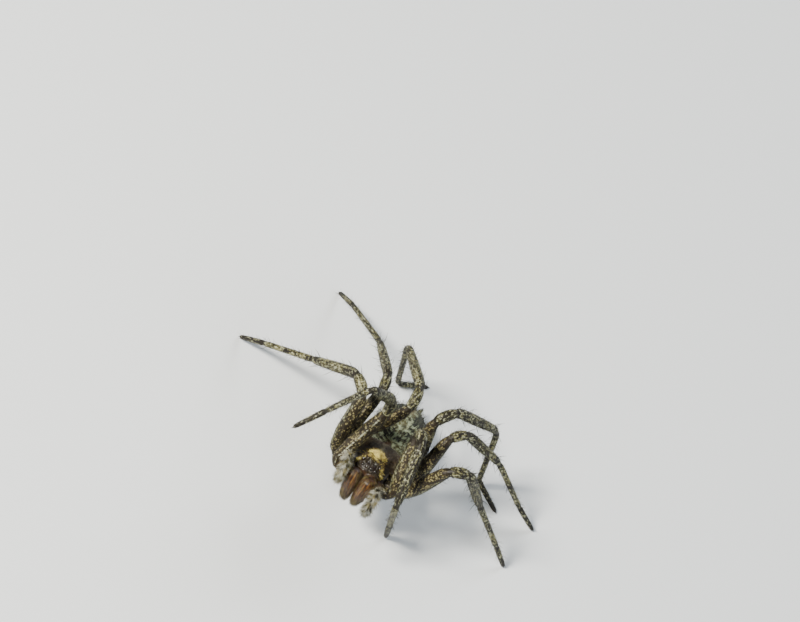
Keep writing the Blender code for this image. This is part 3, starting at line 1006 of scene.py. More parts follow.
class Workshop:
    """Finishes pieces: material, smooth shading, place and body."""

    def __init__(self) -> None:
        """Make the shared materials."""
        black = (0.010, 0.007, 0.005)
        palp_skin = {"straw": (0.30, 0.26, 0.11), "grey": (0.50, 0.50, 0.42), "buff": (0.105, 0.046, 0.017)}
        palp_hair = {"straw": (0.34, 0.29, 0.12), "grey": (0.60, 0.60, 0.52), "buff": (0.13, 0.062, 0.024)}
        finishes = (
            LimbFinish("limb_skin"),
            LimbFinish("limb_hair", hair=True),
            LimbFinish("palp_skin", **palp_skin),
            LimbFinish("palp_hair", hair=True, **palp_hair),
            ThoraxFinish("thorax_skin"),
            ThoraxFinish("thorax_hair", hair=True),
            AbdomenFinish("abdomen_skin"),
            AbdomenFinish("abdomen_hair", hair=True),
            JawFinish("jaw_shell"),
            PlainFinish("fang_horn", (0.060, 0.014, 0.004), black, 0.18, 0.5),
            PlainFinish("claw_horn", (0.030, 0.018, 0.010), black, 0.30),
            PlainFinish("eye_lens", black, (0.018, 0.012, 0.008), 0.05, 1.0),
        )
        self.materials = {finish.name: finish.material() for finish in finishes}
        self.count = 0

    def finish(self, piece: Piece, material: str, slot: str, nodes: Sequence[str] = ()) -> None:
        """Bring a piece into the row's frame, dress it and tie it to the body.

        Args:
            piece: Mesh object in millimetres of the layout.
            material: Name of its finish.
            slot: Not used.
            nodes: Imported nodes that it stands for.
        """
        LAYOUT.settle(piece)
        piece.data.materials.append(self.materials[material])
        piece.data.shade_smooth()
        if nodes:
            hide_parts(*nodes)
        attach(piece, "root")
        self.count += 1
        triangles = sum(len(face.vertices) - 2 for face in piece.data.polygons)
        LOG.info("%s: %d triangles", piece.name, triangles)


@dataclass(frozen=True)
class LegSizes:
    """Sizes of one pair of legs: thigh, knee, shin, foot and toe, the hip's place, and the top line."""

    lengths: tuple[float, ...]
    thickness: float
    trochanter: Place
    coxa_length: float
    coxa_turn: float
    top_line: tuple[float, float, float]


@dataclass(frozen=True)
class LegShape:
    """What all legs share: how they bend, how thick they are and where their spines stand."""

    patella_share: float = 0.55
    sole: float = 0.12
    # Reach of the curve at the hip, the knee as a share of its length, the ankle and the toe
    roundings: tuple[float, float, float, float] = (0.85, 0.49, 0.95, 0.50)
    # Parts of each segment's length and the radius there, from hip to toe
    profile: tuple[Rows, ...] = (
        ((0.0, 0.32), (0.40, 0.39), (0.88, 0.345)),
        ((0, 0.27), (0.05, 0.335), (0.14, 0.40), (0.38, 0.53), (0.70, 0.485), (0.90, 0.415), (0.975, 0.345)),
        ((0.0, 0.305), (0.12, 0.375), (0.5, 0.415), (0.88, 0.365)),
        ((0.0, 0.315), (0.06, 0.365), (0.26, 0.395), (0.70, 0.345), (0.93, 0.285)),
        ((0.0, 0.205), (0.05, 0.245), (0.50, 0.225), (0.94, 0.205)),
        ((0.0, 0.165), (0.06, 0.215), (0.50, 0.20), (0.85, 0.17), (0.975, 0.125)),
    )
    tip_radius: float = 0.05
    sides: int = 28
    spacing: float = 0.12
    undercoat: int = 9400
    bristles: int = 260
    # Segment, part of its length, and the turns round it where spines stand
    spines: tuple[tuple[int, float, tuple[float, ...]], ...] = (
        (1, 0.35, (0.0,)),
        (1, 0.62, (0.10, -0.10)),
        (1, 0.88, (0.12, -0.12)),
        (2, 0.12, (0.0,)),
        (2, 0.86, (0.0,)),
        (3, 0.16, (0.0, 0.27, 0.40, 0.60)),
        (3, 0.50, (0.25, 0.42, 0.58, 0.75)),
        (3, 0.86, (0.0, 0.40, 0.60)),
        (4, 0.10, (0.15, 0.40, 0.60, 0.85)),
        (4, 0.45, (0.20, 0.42, 0.80)),
        (4, 0.90, (0.12, 0.38, 0.62, 0.88)),
    )


LEG_SHAPE = LegShape()
LEG_SIZES = {
    1: LegSizes((5.3, 1.8, 5.0, 5.0, 2.6), 1.00, (2.45, -2.15, -0.62), 1.85, 24.0, (0.80, 0.55, 0.75)),
    2: LegSizes((5.0, 1.6, 4.8, 4.9, 2.4), 0.97, (2.95, -0.85, -0.62), 1.75, 7.0, (0.30, 0.15, 0.15)),
    3: LegSizes((4.9, 1.4, 4.9, 5.3, 2.5), 0.91, (2.95, 0.55, -0.62), 1.75, -5.0, (0.45, 0.40, 0.60)),
    4: LegSizes((5.9, 1.8, 5.6, 6.5, 2.6), 0.97, (2.50, 2.25, -0.62), 1.80, -28.0, (0.30, 0.20, 0.15)),
}
# Turn and rise of thigh, shin, foot and toe. A toe without a rise reaches down to the floor.
LEG_POSES: dict[tuple[Side, int], tuple[tuple[float, Any], ...]] = {
    (Side.RIGHT, 1): ((-103, 49), (62, 45), (14, -73), (56, -46)),
    (Side.RIGHT, 2): ((-72, 60), (-19, -47), (-12, -43), (-12, None)),
    (Side.RIGHT, 3): ((-91, 42), (-62, -31), (-44, -32), (-45, None)),
    (Side.RIGHT, 4): ((-150, 68), (-58, -28), (-131, -73), (-138, None)),
    (Side.LEFT, 1): ((-113, 44), (67, -39), (-70, -68), (-62, None)),
    (Side.LEFT, 2): ((-33, 72), (-36, -58), (-17, -50), (-17, None)),
    (Side.LEFT, 3): ((-91, 56), (-34, -38), (-17, -48), (-13, None)),
    (Side.LEFT, 4): ((-149, 76), (-46, -33), (-9, -77), (17, None)),
}


class Leg:
    """One leg: its skin from hip to tip, its coat, spines and claws."""

    def __init__(self, side: Side, number: int) -> None:
        """Lay the centre line and the skin's grid.

        Args:
            side: Side of the body.
            number: Which pair, 1 to 4 from the front.
        """
        self.side, self.number, self.sizes = side, number, LEG_SIZES[number]
        self.name = "leg_%s_%d" % (side.word, number)
        hip, knee, ankle, toe = LEG_SHAPE.roundings
        knee *= self.sizes.lengths[1]
        self.line = CentreLine.through(self.corners(), (hip, knee, knee, ankle, toe), LEG_SHAPE.spacing)
        reach = np.linspace(0.0, self.line.length, len(self.line.points))
        radius = limb_radius(reach, self.line.joints, LEG_SHAPE.profile, LEG_SHAPE.tip_radius)
        self.shell = Shell(on_floor(self.line.tube(radius * self.sizes.thickness, LEG_SHAPE.sides)))

    def corners(self) -> list[Array]:
        """Work out the joint points from the pose, with the knee's two ends.

        Returns:
            Hip root, trochanter, knee, patella end, tibia end, metatarsus end and tip.
        """
        side, sizes = self.side, self.sizes
        femur, tibia, metatarsus, (tarsus_turn, tarsus_rise) = LEG_POSES[side, self.number]
        thigh, shin = direction(side, *femur), direction(side, *tibia)
        swing = math.acos(float(np.clip(thigh @ shin, -1.0, 1.0)))
        first = math.sin((1.0 - LEG_SHAPE.patella_share) * swing) / math.sin(swing)
        second = math.sin(LEG_SHAPE.patella_share * swing) / math.sin(swing)
        turn = math.radians(sizes.coxa_turn)
        hip = np.array(sizes.trochanter)
        inner = hip + np.array((-math.cos(turn), math.sin(turn), 0.0)) * sizes.coxa_length
        points = [BODY.place(mirrored(inner, side)), BODY.place(mirrored(hip, side))]
        ways = [thigh, first * thigh + second * shin, shin, direction(side, *metatarsus)]
        for length, way in zip(sizes.lengths, ways):
            points.append(points[-1] + length * way)
        last = sizes.lengths[-1]
        if tarsus_rise is None:
            drop = (points[-1][2] - LEG_SHAPE.sole) / last
            tarsus_rise = -math.degrees(math.asin(min(1.0, drop)))
        return [*points, points[-1] + last * direction(side, tarsus_turn, tarsus_rise)]

    def segment(self, along: Array) -> tuple[Array, Array]:
        """Find the segment at parts of the leg's length.

        Args:
            along: Parts of the length.

        Returns:
            Number of the segment, and the part of that segment.
        """
        joints, reach = self.line.joints, along * self.line.length
        place = np.clip(np.searchsorted(joints, reach, side="right") - 1, 0, len(joints) - 2)
        return place, (reach - joints[place]) / (joints[place + 1] - joints[place])

    def marks(self, places: Array, around: Array, along: Array) -> Array:
        """Markings of the leg: dark joints and bands, pale lines along the top.

        Args:
            places: Points on the skin.
            around: Unwrap around, 0 on the outer side of the knee.
            along: Unwrap along.

        Returns:
            Dark, pale and tint for each point.
        """
        reach = along * self.line.length
        place, part = self.segment(along)
        turn = np.abs((around + 0.5) % 1.0 - 0.5) * math.tau
        on_thigh, on_shin, on_foot = place <= 1, place == 3, place == 4
        dark = np.select([on_thigh, place == 2, on_shin, on_foot], [0.08, 0.02, -0.02, 0.00], 0.20)
        for joint in self.line.joints[1:-1]:
            dark = dark + 0.70 * bell(reach, joint, 0.12)
        shin_rings = 0.04 + 0.26 * (bell(part, 0.12, 0.06) + bell(part, 0.86, 0.07))
        foot_rings = 0.06 + 0.16 * (bell(part, 0.50, 0.06) + bell(part, 0.94, 0.05))
        dark = dark + np.where(place == 1, 0.45 * bell(part, 0.90, 0.07) * (turn > 1.2), 0.0)
        dark = dark + np.where(on_shin, shin_rings, 0.0)
        dark = dark + np.where(on_foot, foot_rings, 0.0)
        dark = dark + np.where(place == 5, 0.5 * ramp(part, 0.35, 1.0), 0.0)
        dark = dark + 0.22 * (patches(places, 1.1, 40 + self.number) - 0.5)
        beads = 0.46 + 0.40 * np.sin(reach * (math.tau / 0.27))
        beads = beads + 0.5 * (patches(places, 0.6, 80 + self.number) - 0.5)
        line = np.select([place == 1, place == 2, on_shin], self.sizes.top_line, 0.0)
        pale = line * bell(turn, 0.0, 0.10) * beads
        dark = dark + 0.75 * line * bell(turn, 0.34, 0.13)
        pale = pale + np.where(place >= 4, 0.05, 0.0)
        if self.number == 1:
            strength, width = (0.80, 0.60) if self.side is Side.LEFT else (0.30, 0.75)
            pale = pale + np.where(on_thigh, strength * bell(turn, 0.0, width), 0.0)
        pebbled = np.where(on_thigh, 0.6 * (1.0 - bell(turn, 1.85, 0.50)), 0.0)
        return np.stack([dark, pale, pebbled], axis=1)

    def coat(self) -> Hairs:
        """Flat undercoat with longer and erect hairs among it, bare beside the top line.

        Returns:
            The hairs, with the spines.
        """
        rng = np.random.default_rng(100 + 10 * self.number + (self.side is Side.LEFT))
        shell, marks = self.shell, self.marks
        place, _ = self.segment(shell.uv[:, :, 1])
        turn = (shell.uv[:, :, 0] + 0.5) % 1.0 - 0.5
        bare = (1.0 - 0.75 * bell(turn, 0.067, 0.014)) * (1.0 - 0.75 * bell(turn, -0.067, 0.014))
        share = np.select([place == 0, place >= 4], [0.5, 1.25], 1.0) * bare
        near = shell.scatter(LEG_SHAPE.undercoat, rng, share)
        on_foot = self.segment(near.uv[:, 1])[0] >= 4
        flat = HairStyle((0.12, 0.22), 0.0125, (8.0, 24.0), 0.30, 0.5)
        fine = HairStyle((0.09, 0.16), 0.0105, (10.0, 28.0), 0.30, 0.4)
        groups = [flat.grow(near.take(~on_foot), marks, rng), fine.grow(near.take(on_foot), marks, rng)]
        weight = np.select([place == 0, place == 1, place == 5], [0.2, 0.8, 0.7], 1.3)
        erect = HairStyle((0.28, 0.62), 0.0085, (35.0, 75.0), 0.35, 0.25)
        black = HairStyle((0.28, 0.58), 0.0095, (30.0, 70.0), 0.35, 0.25, tint=1.0)
        groups.append(erect.sow(shell, LEG_SHAPE.bristles, marks, rng, weight))
        groups.append(black.sow(shell, LEG_SHAPE.bristles // 2, marks, rng, weight))
        return Hairs.joined([*groups, *self.spines(rng)]).above_floor()

    def spines(self, rng: Chance) -> list[Hairs]:
        """Set the strong spines in their places on thigh, knee, shin and foot.

        Args:
            rng: Seeded source of chance.

        Returns:
            The long and the short spines, as hairs.
        """
        shell, joints = self.shell, self.line.joints
        rings, sides = shell.area.shape
        rows = []
        for place, part, turns in LEG_SHAPE.spines:
            along = joints[place] + (joints[place + 1] - joints[place]) * part
            ring = min(rings - 1, int(along / self.line.length * rings))
            rows += [(ring, int((turn % 1.0) * sides) % sides, place) for turn in turns]
        ring, side, place = np.array(rows).T
        centre = (shell.grid[ring, side] + shell.grid[ring + 1, side]) / 2.0
        roots = Roots(centre, shell.normal[ring, side], shell.lie[ring, side], shell.uv[ring, side])
        long_spine = HairStyle((0.75, 1.15), 0.023, (32.0, 52.0), 0.10, 0.30, tint=1.0)
        short_spine = HairStyle((0.50, 0.80), 0.019, (28.0, 48.0), 0.10, 0.30, tint=1.0)
        return [
            style.grow(roots.take(keep), self.marks, rng)
            for style, keep in ((long_spine, place <= 3), (short_spine, place > 3))
        ]

    def claws(self) -> Piece:
        """Make three small curved claws at the tip.

        Returns:
            The claws as one piece.
        """
        tip, way = self.line.points[-1], self.line.tangent[-1]
        up, across = self.line.dorsal[-1], self.line.across[-1]
        claws = []
        for sideways, raised in ((0.05, 0.03), (-0.05, 0.03), (0.0, -0.01)):
            start = tip - way * 0.06 + across * sideways + up * raised
            bend, end = start + way * 0.16 + up * 0.03, start + way * 0.20 - up * 0.09
            line = CentreLine(bow(start, bend, end, 9), (start, bend, end), (0.0, 0.3))
            claws.append(Shell(on_floor(line.tube(np.linspace(0.026, 0.004, 9), 8))).build("claw"))
        return join_pieces(self.name + "_claws", claws)

    def make(self, shop: Workshop) -> None:
        """Build and finish the leg's pieces.

        Args:
            shop: Where its pieces are finished.
        """
        nodes = [self.name + "_" + part for part in ("coxa", "femur", "tibia", "foot")]
        shop.finish(self.shell.build(self.name + "_skin", self.marks), "limb_skin", "leg", nodes)
        shop.finish(self.coat().build(self.name + "_coat"), "limb_hair", "leg")
        shop.finish(self.claws(), "claw_horn", "foot")


@dataclass(frozen=True)
class HeadAndThorax:
    """The shield, breastplate, mouth parts and waist as one skin, with eyes and coat."""

    length: float = 4.8
    front: float = -2.15
    # Part of the length, half width, height of the crown and of the rim
    stations: tuple[tuple[float, float, float, float], ...] = (
        (-0.022, 0.20, 0.34, 0.22),
        (-0.014, 0.46, 0.44, 0.18),
        (0.000, 0.68, 0.52, 0.15),
        (0.050, 0.87, 0.76, 0.14),
        (0.120, 0.96, 0.98, 0.14),
        (0.220, 1.03, 1.11, 0.15),
        (0.320, 1.19, 1.08, 0.16),
        (0.420, 1.58, 0.97, 0.16),
        (0.520, 1.84, 0.94, 0.16),
        (0.620, 1.92, 0.91, 0.16),
        (0.720, 1.84, 0.82, 0.14),
        (0.820, 1.58, 0.62, 0.08),
        (0.910, 1.14, 0.37, 0.02),
        (0.970, 0.68, 0.14, -0.06),
        (1.000, 0.36, 0.02, -0.10),
    )
    # Name, place and radius
    eyes: tuple[tuple[str, Place, float], ...] = (
        ("front_middle", (0.17, -2.06, 0.58), 0.130),
        ("front_side", (0.50, -2.01, 0.54), 0.125),
        ("rear_middle", (0.24, -1.89, 0.86), 0.122),
        ("rear_side", (0.64, -1.69, 0.81), 0.125),
    )
    # Centre, half sizes and rings of the forms that close the gaps to hips and jaws
    fillings: tuple[tuple[Place, Place, int], ...] = (
        ((1.10, -1.62, -0.52), (0.50, 0.62, 0.36), 20),
        ((0.95, -0.50, -0.36), (0.46, 1.55, 0.42), 24),
        ((0.48, -2.22, -0.06), (0.46, 0.42, 0.34), 20),
    )
    # Centre and half sizes
    breastplate: tuple[Place, Place] = ((0.0, 0.34, -0.42), (0.94, 1.92, 0.69))
    lip: tuple[Place, Place] = ((0.0, -1.44, -0.82), (0.28, 0.32, 0.22))
    mouth_plate: tuple[Place, Place] = ((0.42, -1.46, -0.82), (0.24, 0.48, 0.20))
    # Start and end of the middle line
    waist_line: tuple[Place, Place] = ((0.0, 1.95, -0.10), (0.0, 3.35, -0.05))
    palp_hip_line: tuple[Place, Place] = ((0.55, -1.62, -0.80), (1.46, -2.39, -0.86))
    palp_hip_radii: Rows = ((0.0, 0.22), (0.4, 0.29), (0.85, 0.25), (1.0, 0.15))
    # The shield's middle pit and the grooves round it: place along y, depths and turns
    pit_y: float = 0.85
    pit_depth: float = 0.13
    neck_y: float = -0.48
    neck_depth: float = 0.07
    ray_depth: float = 0.05
    ray_turns: tuple[float, float, float, float] = (0.35, 0.95, 1.6, 2.3)
    voxel: float = 0.055
    lens_share: float = 0.96
    hairless: float = 1.10

    def shield(self) -> Shell:
        """The domed shield with its grooves.

        Returns:
            The skin.
        """
        columns = np.array(self.stations).T
        parts = np.concatenate([np.linspace(-0.022, 0.05, 12), np.linspace(0.06, 1.0, 84)])
        width, crown, rim = (smooth_curve(parts, columns[0], columns[row]) for row in (1, 2, 3))
        around = circle(96)
        cos, sin = np.cos(around), np.sin(around)
        x = width[:, None] * np.sign(cos) * np.abs(cos) ** 0.85
        height = np.where(sin[None] > 0.0, (crown - rim)[:, None], 0.16)
        z = rim[:, None] + height * sin[None]
        y = np.repeat((self.front + self.length * parts)[:, None], len(around), axis=1)
        pit = bell(x, 0.0, 0.10) * bell(y, self.pit_y, 0.36) * self.pit_depth
        neck = bell(y + np.abs(x) * -0.45, self.neck_y, 0.16) * ramp(np.abs(x), 0.15, 0.6) * self.neck_depth
        rays = np.zeros_like(x)
        for angle in self.ray_turns:
            way_x, way_y = math.sin(angle), -math.cos(angle)
            off = np.abs(x) * way_y - (y - 0.8) * way_x
            out = np.abs(x) * way_x + (y - 0.8) * way_y
            rays += bell(off, 0.0, 0.10) * ramp(out, 0.15, 0.5) * self.ray_depth
        z = z - np.clip(sin[None], 0.0, 1.0) * (pit + neck + rays)
        return Shell(BODY.place(np.stack([x, y, z], axis=2)))

    def blob(self, centre: Sequence[float], half: Sequence[float], rings: int, sides: int) -> Shell:
        """An egg shape across the y axis, in the frame of the head and thorax.

        Args:
            centre: Its middle.
            half: Half its width, length and height.
            rings: Rings along it.
            sides: Points around it.

        Returns:
            The skin.
        """
        turn = np.linspace(0.04, 0.96, rings)[:, None] * math.pi
        around = circle(sides)[None]
        x = half[0] * np.sin(turn) * np.cos(around)
        z = half[2] * np.sin(turn) * np.sin(around)
        y = -half[1] * np.cos(turn) + 0.0 * around
        return Shell(BODY.place(np.stack([x, y, z], axis=2) + np.array(centre)))

    def waist(self) -> Shell:
        """The narrow waist that reaches into the abdomen."""
        path = BODY.place(np.linspace(*self.waist_line, 24))
        return Shell.rod(path, RISE, np.linspace(0.46, 0.28, 24), 32)

    def palp_hip(self, side: Side) -> Shell:
        """The hip of a palp, from beside the mouth to the palp's root.

        Args:
            side: Side of the body.

        Returns:
            The skin.
        """
        inner, outer = (mirrored(end, side) for end in self.palp_hip_line)
        radius = smooth_curve(np.linspace(0.0, 1.0, 24), *np.array(self.palp_hip_radii).T)
        return Shell.rod(BODY.place(np.linspace(inner, outer, 24)), RISE, radius, 28)

    def marks(self, places: Array, _around: Array, _along: Array) -> Array:
        """Markings of head and thorax, read from the place alone.

        Args:
            places: Points on the skin.

        Returns:
            Dark, pale and tint for each point.
        """
        x, y, z = BODY.local(places).T
        wide = np.abs(x)
        upper, head = ramp(z, 0.0, 0.25), ramp(-y, 0.6, 1.2)
        dark = 0.55 * bell(wide, 0.75, 0.38) * (1.0 - head) * upper + 0.35 * head + 0.3 * (1.0 - upper)
        pale = (0.75 * bell(wide, 1.75, 0.22) + 0.6 * bell(wide, 0.0, 0.22)) * (1.0 - head) * upper
        pale = pale * (1.0 - ramp(y, 1.6, 2.0))
        dark = dark + 0.35 * (patches(places, 1.0, 7) - 0.5)
        dark = dark + 0.9 * bell(y, -1.95, 0.34) * bell(wide, 0.0, 0.75) * ramp(z, 0.3, 0.5)
        dark = dark - 0.5 * ramp(-y, 1.5, 1.9) * (1.0 - ramp(z, 0.1, 0.35))
        return np.stack([dark, pale, np.zeros_like(dark)], axis=1)

    def coat(self, shield: Shell, plate: Shell) -> Hairs:
        """Grey-brown hair on the thorax, a golden patch on the head, and pale hairs among the eyes that are
        partly white hair and partly painted glints of the eyes.

        Args:
            shield: Skin of the shield.
            plate: Skin of the breastplate.

        Returns:
            The hairs.
        """
        rng, marks = np.random.default_rng(71), self.marks
        spread = BODY.local(shield.grid[:-1])
        y, wide, z = spread[:, :, 1], np.abs(spread[:, :, 0]), spread[:, :, 2]
        tuft = bell(y, -0.85, 0.45) * bell(wide, 0.0, 0.54) * (z > 0.5)
        tuft = tuft + 1.1 * bell(y, -1.62, 0.18) * bell(wide, 1.02, 0.20) * (z > 0.1)
        tuft = tuft ** 1.5 * (0.03 + ramp(patches(shield.middle, 0.30, 23), 0.46, 0.60))
        below = ramp(-BODY.local(plate.grid[:-1])[:, :, 2], 0.5, 0.7)
        flat = HairStyle((0.20, 0.42), 0.014, (12.0, 38.0), 0.55, 0.5)
        golden = HairStyle((0.14, 0.44), 0.018, (20.0, 85.0), 1.60, 0.6, tint=1.0)
        white_and_glint = HairStyle((0.14, 0.26), 0.012, (20.0, 60.0), 0.9, 0.4, tint=2.0)
        bristle = HairStyle((0.40, 0.75), 0.012, (35.0, 70.0), 0.4, 0.2, tint=0.0)

        groups = [flat.sow(shield, 7000, marks, rng, ramp(z, 0.05, 0.25))]
        roots = shield.scatter(2300, rng, tuft)
        roots.lie = unit(-roots.lie + 0.2 * roots.normal)
        groups.append(golden.grow(roots, marks, rng))
        # White hairs among the eyes, partly real white hair and partly painted glints of the eyes
        roots = shield.scatter(70, rng, ramp(-y, 1.55, 1.8) * ramp(z, 0.25, 0.45))
        roots.lie = unit(roots.lie * rng.choice((-1.0, 1.0), len(roots.place))[:, None])
        groups.append(white_and_glint.grow(roots, marks, rng))
        groups.append(flat.sow(plate, 1300, marks, rng, below))
        roots = shield.scatter(90, rng, ramp(-y, 1.2, 1.9) * ramp(z, 0.3, 0.6))
        roots.lie = -roots.lie
        groups.append(bristle.grow(roots, marks, rng))
        groups += [flat.sow(self.palp_hip(side), 420, marks, rng) for side in Side]
        return self.off_the_eyes(Hairs.joined(groups))

    def eye_place(self, place: Place, side: Side) -> Array:
        """Centre of an eye, in the layout."""
        return BODY.place(mirrored(place, side)[None])[0]

    def off_the_eyes(self, hairs: Hairs) -> Hairs:
        """Leave out the hairs that cross an eye.

        Args:
            hairs: The whole coat.

        Returns:
            The hairs that are left.
        """
        keep = np.ones(len(hairs.points), bool)
        for _, place, radius in self.eyes:
            for side in Side:
                away = np.linalg.norm(hairs.points - self.eye_place(place, side), axis=2)
                keep &= away.min(axis=1) > radius * self.hairless
        return hairs.take(keep)

    def skin(self, shield: Shell, plate: Shell) -> Piece:
        """Run all forms of head and thorax together and smooth them.

        Args:
            shield: Skin of the shield.
            plate: Skin of the breastplate.

        Returns:
            The skin as one piece.
        """
        shells = [shield, plate, self.waist(), self.blob(*self.lip, 16, 24)]
        centre, half = self.mouth_plate
        shells += [self.blob(mirrored(centre, side), half, 16, 24) for side in Side]
        for side in Side:
            shells.append(self.palp_hip(side))
            shells += [self.blob(mirrored(at, side), half, rings, 28) for at, half, rings in self.fillings]
        skin = join_pieces("head_and_thorax_skin", [shell.build("part_of_skin") for shell in shells])
        skin.data.remesh_voxel_size = self.voxel
        select(skin)
        bpy.ops.object.voxel_remesh()
        smooth = skin.modifiers.new("Even", "SMOOTH")
        smooth.factor = 0.5
        smooth.iterations = 4
        bpy.ops.object.modifier_apply(modifier=smooth.name)
        places = np.empty(len(skin.data.vertices) * 3)
        skin.data.vertices.foreach_get("co", places)
        places = places.reshape(-1, 3)
        write(skin, "marks", self.marks(places, places[:, 0], places[:, 0]))
        return skin

    def make(self, shop: Workshop) -> None:
        """Build and finish the head and thorax.

        Args:
            shop: Where its pieces are finished.
        """
        shield = self.shield()
        plate = self.blob(*self.breastplate, 40, 56)
        shop.finish(self.skin(shield, plate), "thorax_skin", "coat", ["cephalothorax"])
        shop.finish(self.coat(shield, plate).build("head_and_thorax_coat"), "thorax_hair", "coat")
        for word, place, radius in self.eyes:
            for side in Side:
                lens, at = radius * self.lens_share, self.eye_place(place, side)
                bpy.ops.mesh.primitive_uv_sphere_add(segments=28, ring_count=18, radius=lens, location=at)
                shop.finish(added("eye_%s_%s" % (word, side.word)), "eye_lens", "coat")


@dataclass(frozen=True)
class Abdomen:
    """The hairy egg behind the waist, with its spinnerets."""

    length: float = 5.7
    half_width: float = 1.88
    half_height: float = 1.82
    widest: float = 0.50
    # How the girth falls off ahead of the widest place and behind it
    fullness: tuple[float, float] = (0.56, 0.62)
    powers: tuple[float, float] = (2.2, 2.0)
    end_cut: float = 0.03
    steps: int = 18
    coat_depth: float = 0.05
    hairs: int = 26000
    # Roots of the spinnerets: part of the length, step to the side and drop
    hind_root: Place = (0.975, 0.30, 0.0)
    front_root: Place = (0.90, 0.24, 0.34)
    hind_rise: float = math.radians(14.0)
    hind_spread: float = 0.12
    hind_reach: tuple[float, float] = (-0.25, 1.51)
    front_reach: float = 0.77
    front_drop: float = 0.17
    # Part of the spinneret's length and radius
    hind_radii: Rows = (
        (0.0, 0.15),
        (0.16, 0.165),
        (0.50, 0.15),
        (0.58, 0.115),
        (0.62, 0.125),
        (0.97, 0.065),
        (1.0, 0.03),
    )
    front_radii: Rows = ((0.0, 0.19), (0.9, 0.11), (1.0, 0.05))

    def full(self, part: Array) -> Array:
        """Share of the full girth.

        Args:
            part: Parts of the length.

        Returns:
            The share at each part.
        """
        front = np.clip((self.widest - part) / self.widest, 0.0, 1.0)
        rear = np.clip((part - self.widest) / (1.0 - self.widest), 0.0, 1.0)
        ahead = (1.0 - front ** self.powers[0]) ** self.fullness[0]
        return np.where(part < self.widest, ahead, (1.0 - rear ** self.powers[1]) ** self.fullness[1])

    def grid(self, steps: int, sides: int, cut: float, inset: float) -> Array:
        """Rings of the egg.

        Args:
            steps: Steps along it.
            sides: Points around it, from its left side over the top.
            cut: Part of the turn left off at each end.
            inset: How far inside the solid.

        Returns:
            Grid of points.
        """
        start, along, side, up = BODY.abdomen_axes()
        part = 0.5 - 0.5 * np.cos(math.pi * np.linspace(cut, 1.0 - cut, steps + 1))
        full = self.full(part)[:, None, None]
        around = circle(sides)[None, :, None]
        centre = start + along * (self.length * part)[:, None]
        across = side * (self.half_width - inset) * full * np.cos(around)
        return centre[:, None] + across + up * (self.half_height - inset) * full * np.sin(around)

    def marks(self, places: Array, around: Array, _along: Array) -> Array:
        """Markings: a warm middle band, dark flanks with pale slanting bars, a mottled front.

        Args:
            places: Points on the skin.
            around: Unwrap around, 0.25 along the top.

        Returns:
            Dark, pale and tint for each point.
        """
        start, axis, _, _ = BODY.abdomen_axes()
        part = ((places - start) @ axis) / self.length
        turn = np.abs((around - 0.25 + 0.5) % 1.0 - 0.5) * math.tau
        blur = patches(places, 0.9, 3) - 0.5
        warm = 0.8 * bell(turn, 0.0, 0.24) * ramp(part, 0.30, 0.50) * (1.0 - ramp(part, 0.75, 0.95))
        dark = 0.8 * bell(turn, 0.62, 0.36) + 0.35 * bell(turn, 1.7, 0.5)
        pale = 0.55 * bell(turn, 1.15, 0.16)
        for bar in (0.26, 0.38, 0.50, 0.61, 0.71, 0.80, 0.88):
            line = part - bar - 0.07 * turn + 0.03 * blur
            flank = ramp(turn, 0.10, 0.25) * (1.0 - ramp(turn, 0.9, 1.25))
            pale = pale + 0.95 * bell(line, 0.0, 0.017) * flank
        front = 1.0 - ramp(part, 0.16, 0.58)
        mottle = patches(places, 0.27, 5)
        pale = pale * (1.0 - 0.6 * front) + 0.9 * front * (mottle - 0.22) * (turn < 2.4)
        dark = dark * (1.0 - 0.6 * front) + 0.8 * front * (0.50 - mottle)
        pale = pale + 0.35 * ramp(turn, 2.0, 2.5) * (1.0 - bell(turn, math.pi, 0.35))
        return np.stack([dark + 0.5 * blur, pale + 0.25 * blur, warm], axis=1)

    def plain_marks(self, _places: Array, _around: Array, along: Array) -> Array:
        """Markings of the spinnerets: brown, paler at the tip."""
        return np.stack([0.3 + 0.0 * along, 0.35 * ramp(along, 0.5, 1.0), 0.2 + 0.0 * along], axis=1)

    def spinneret(self, side: Side) -> Shell:
        """One long hind spinneret of two parts.

        Args:
            side: Side of the body.

        Returns:
            The skin.
        """
        start, along, across, up = BODY.abdomen_axes()
        part, step, drop = self.hind_root
        root = start + along * (self.length * part) - up * drop + across * (side.value * step)
        lift = math.cos(self.hind_rise) * along + math.sin(self.hind_rise) * up
        way = unit(lift + across * (self.hind_spread * side.value))
        inner, outer = (root + way * reach for reach in self.hind_reach)
        radius = smooth_curve(np.linspace(0.0, 1.0, 40), *np.array(self.hind_radii).T)
        return Shell.rod(np.linspace(inner, outer, 40), up * 0.1, radius, 20)

    def front_spinneret(self, side: Side) -> Shell:
        """One of the short front spinnerets.

        Args:
            side: Side of the body.

        Returns:
            The skin.
        """
        start, along, across, up = BODY.abdomen_axes()
        part, step, drop = self.front_root
        root = start + along * (self.length * part) - up * drop + across * (side.value * step)
        outer = root + along * self.front_reach - up * self.front_drop
        radius = smooth_curve(np.linspace(0.0, 1.0, 24), *np.array(self.front_radii).T)
        return Shell.rod(np.linspace(root, outer, 24), up * 0.1, radius, 18)

    def coat(self, shell: Shell, rng: Chance) -> Hairs:
        """Backward-lying hair with longer erect hairs among it.

        Args:
            shell: Skin of the abdomen.
            rng: Seeded source of chance.

        Returns:
            The hairs.
        """
        flat = HairStyle((0.14, 0.25), 0.0140, (10.0, 26.0), 0.30, 0.6)
        erect = HairStyle((0.40, 0.70), 0.010, (30.0, 60.0), 0.35, 0.4)
        groups = [flat.sow(shell, self.hairs, self.marks, rng)]
        groups.append(erect.sow(shell, self.hairs // 14, self.marks, rng))
        return Hairs.joined(groups).above_floor()

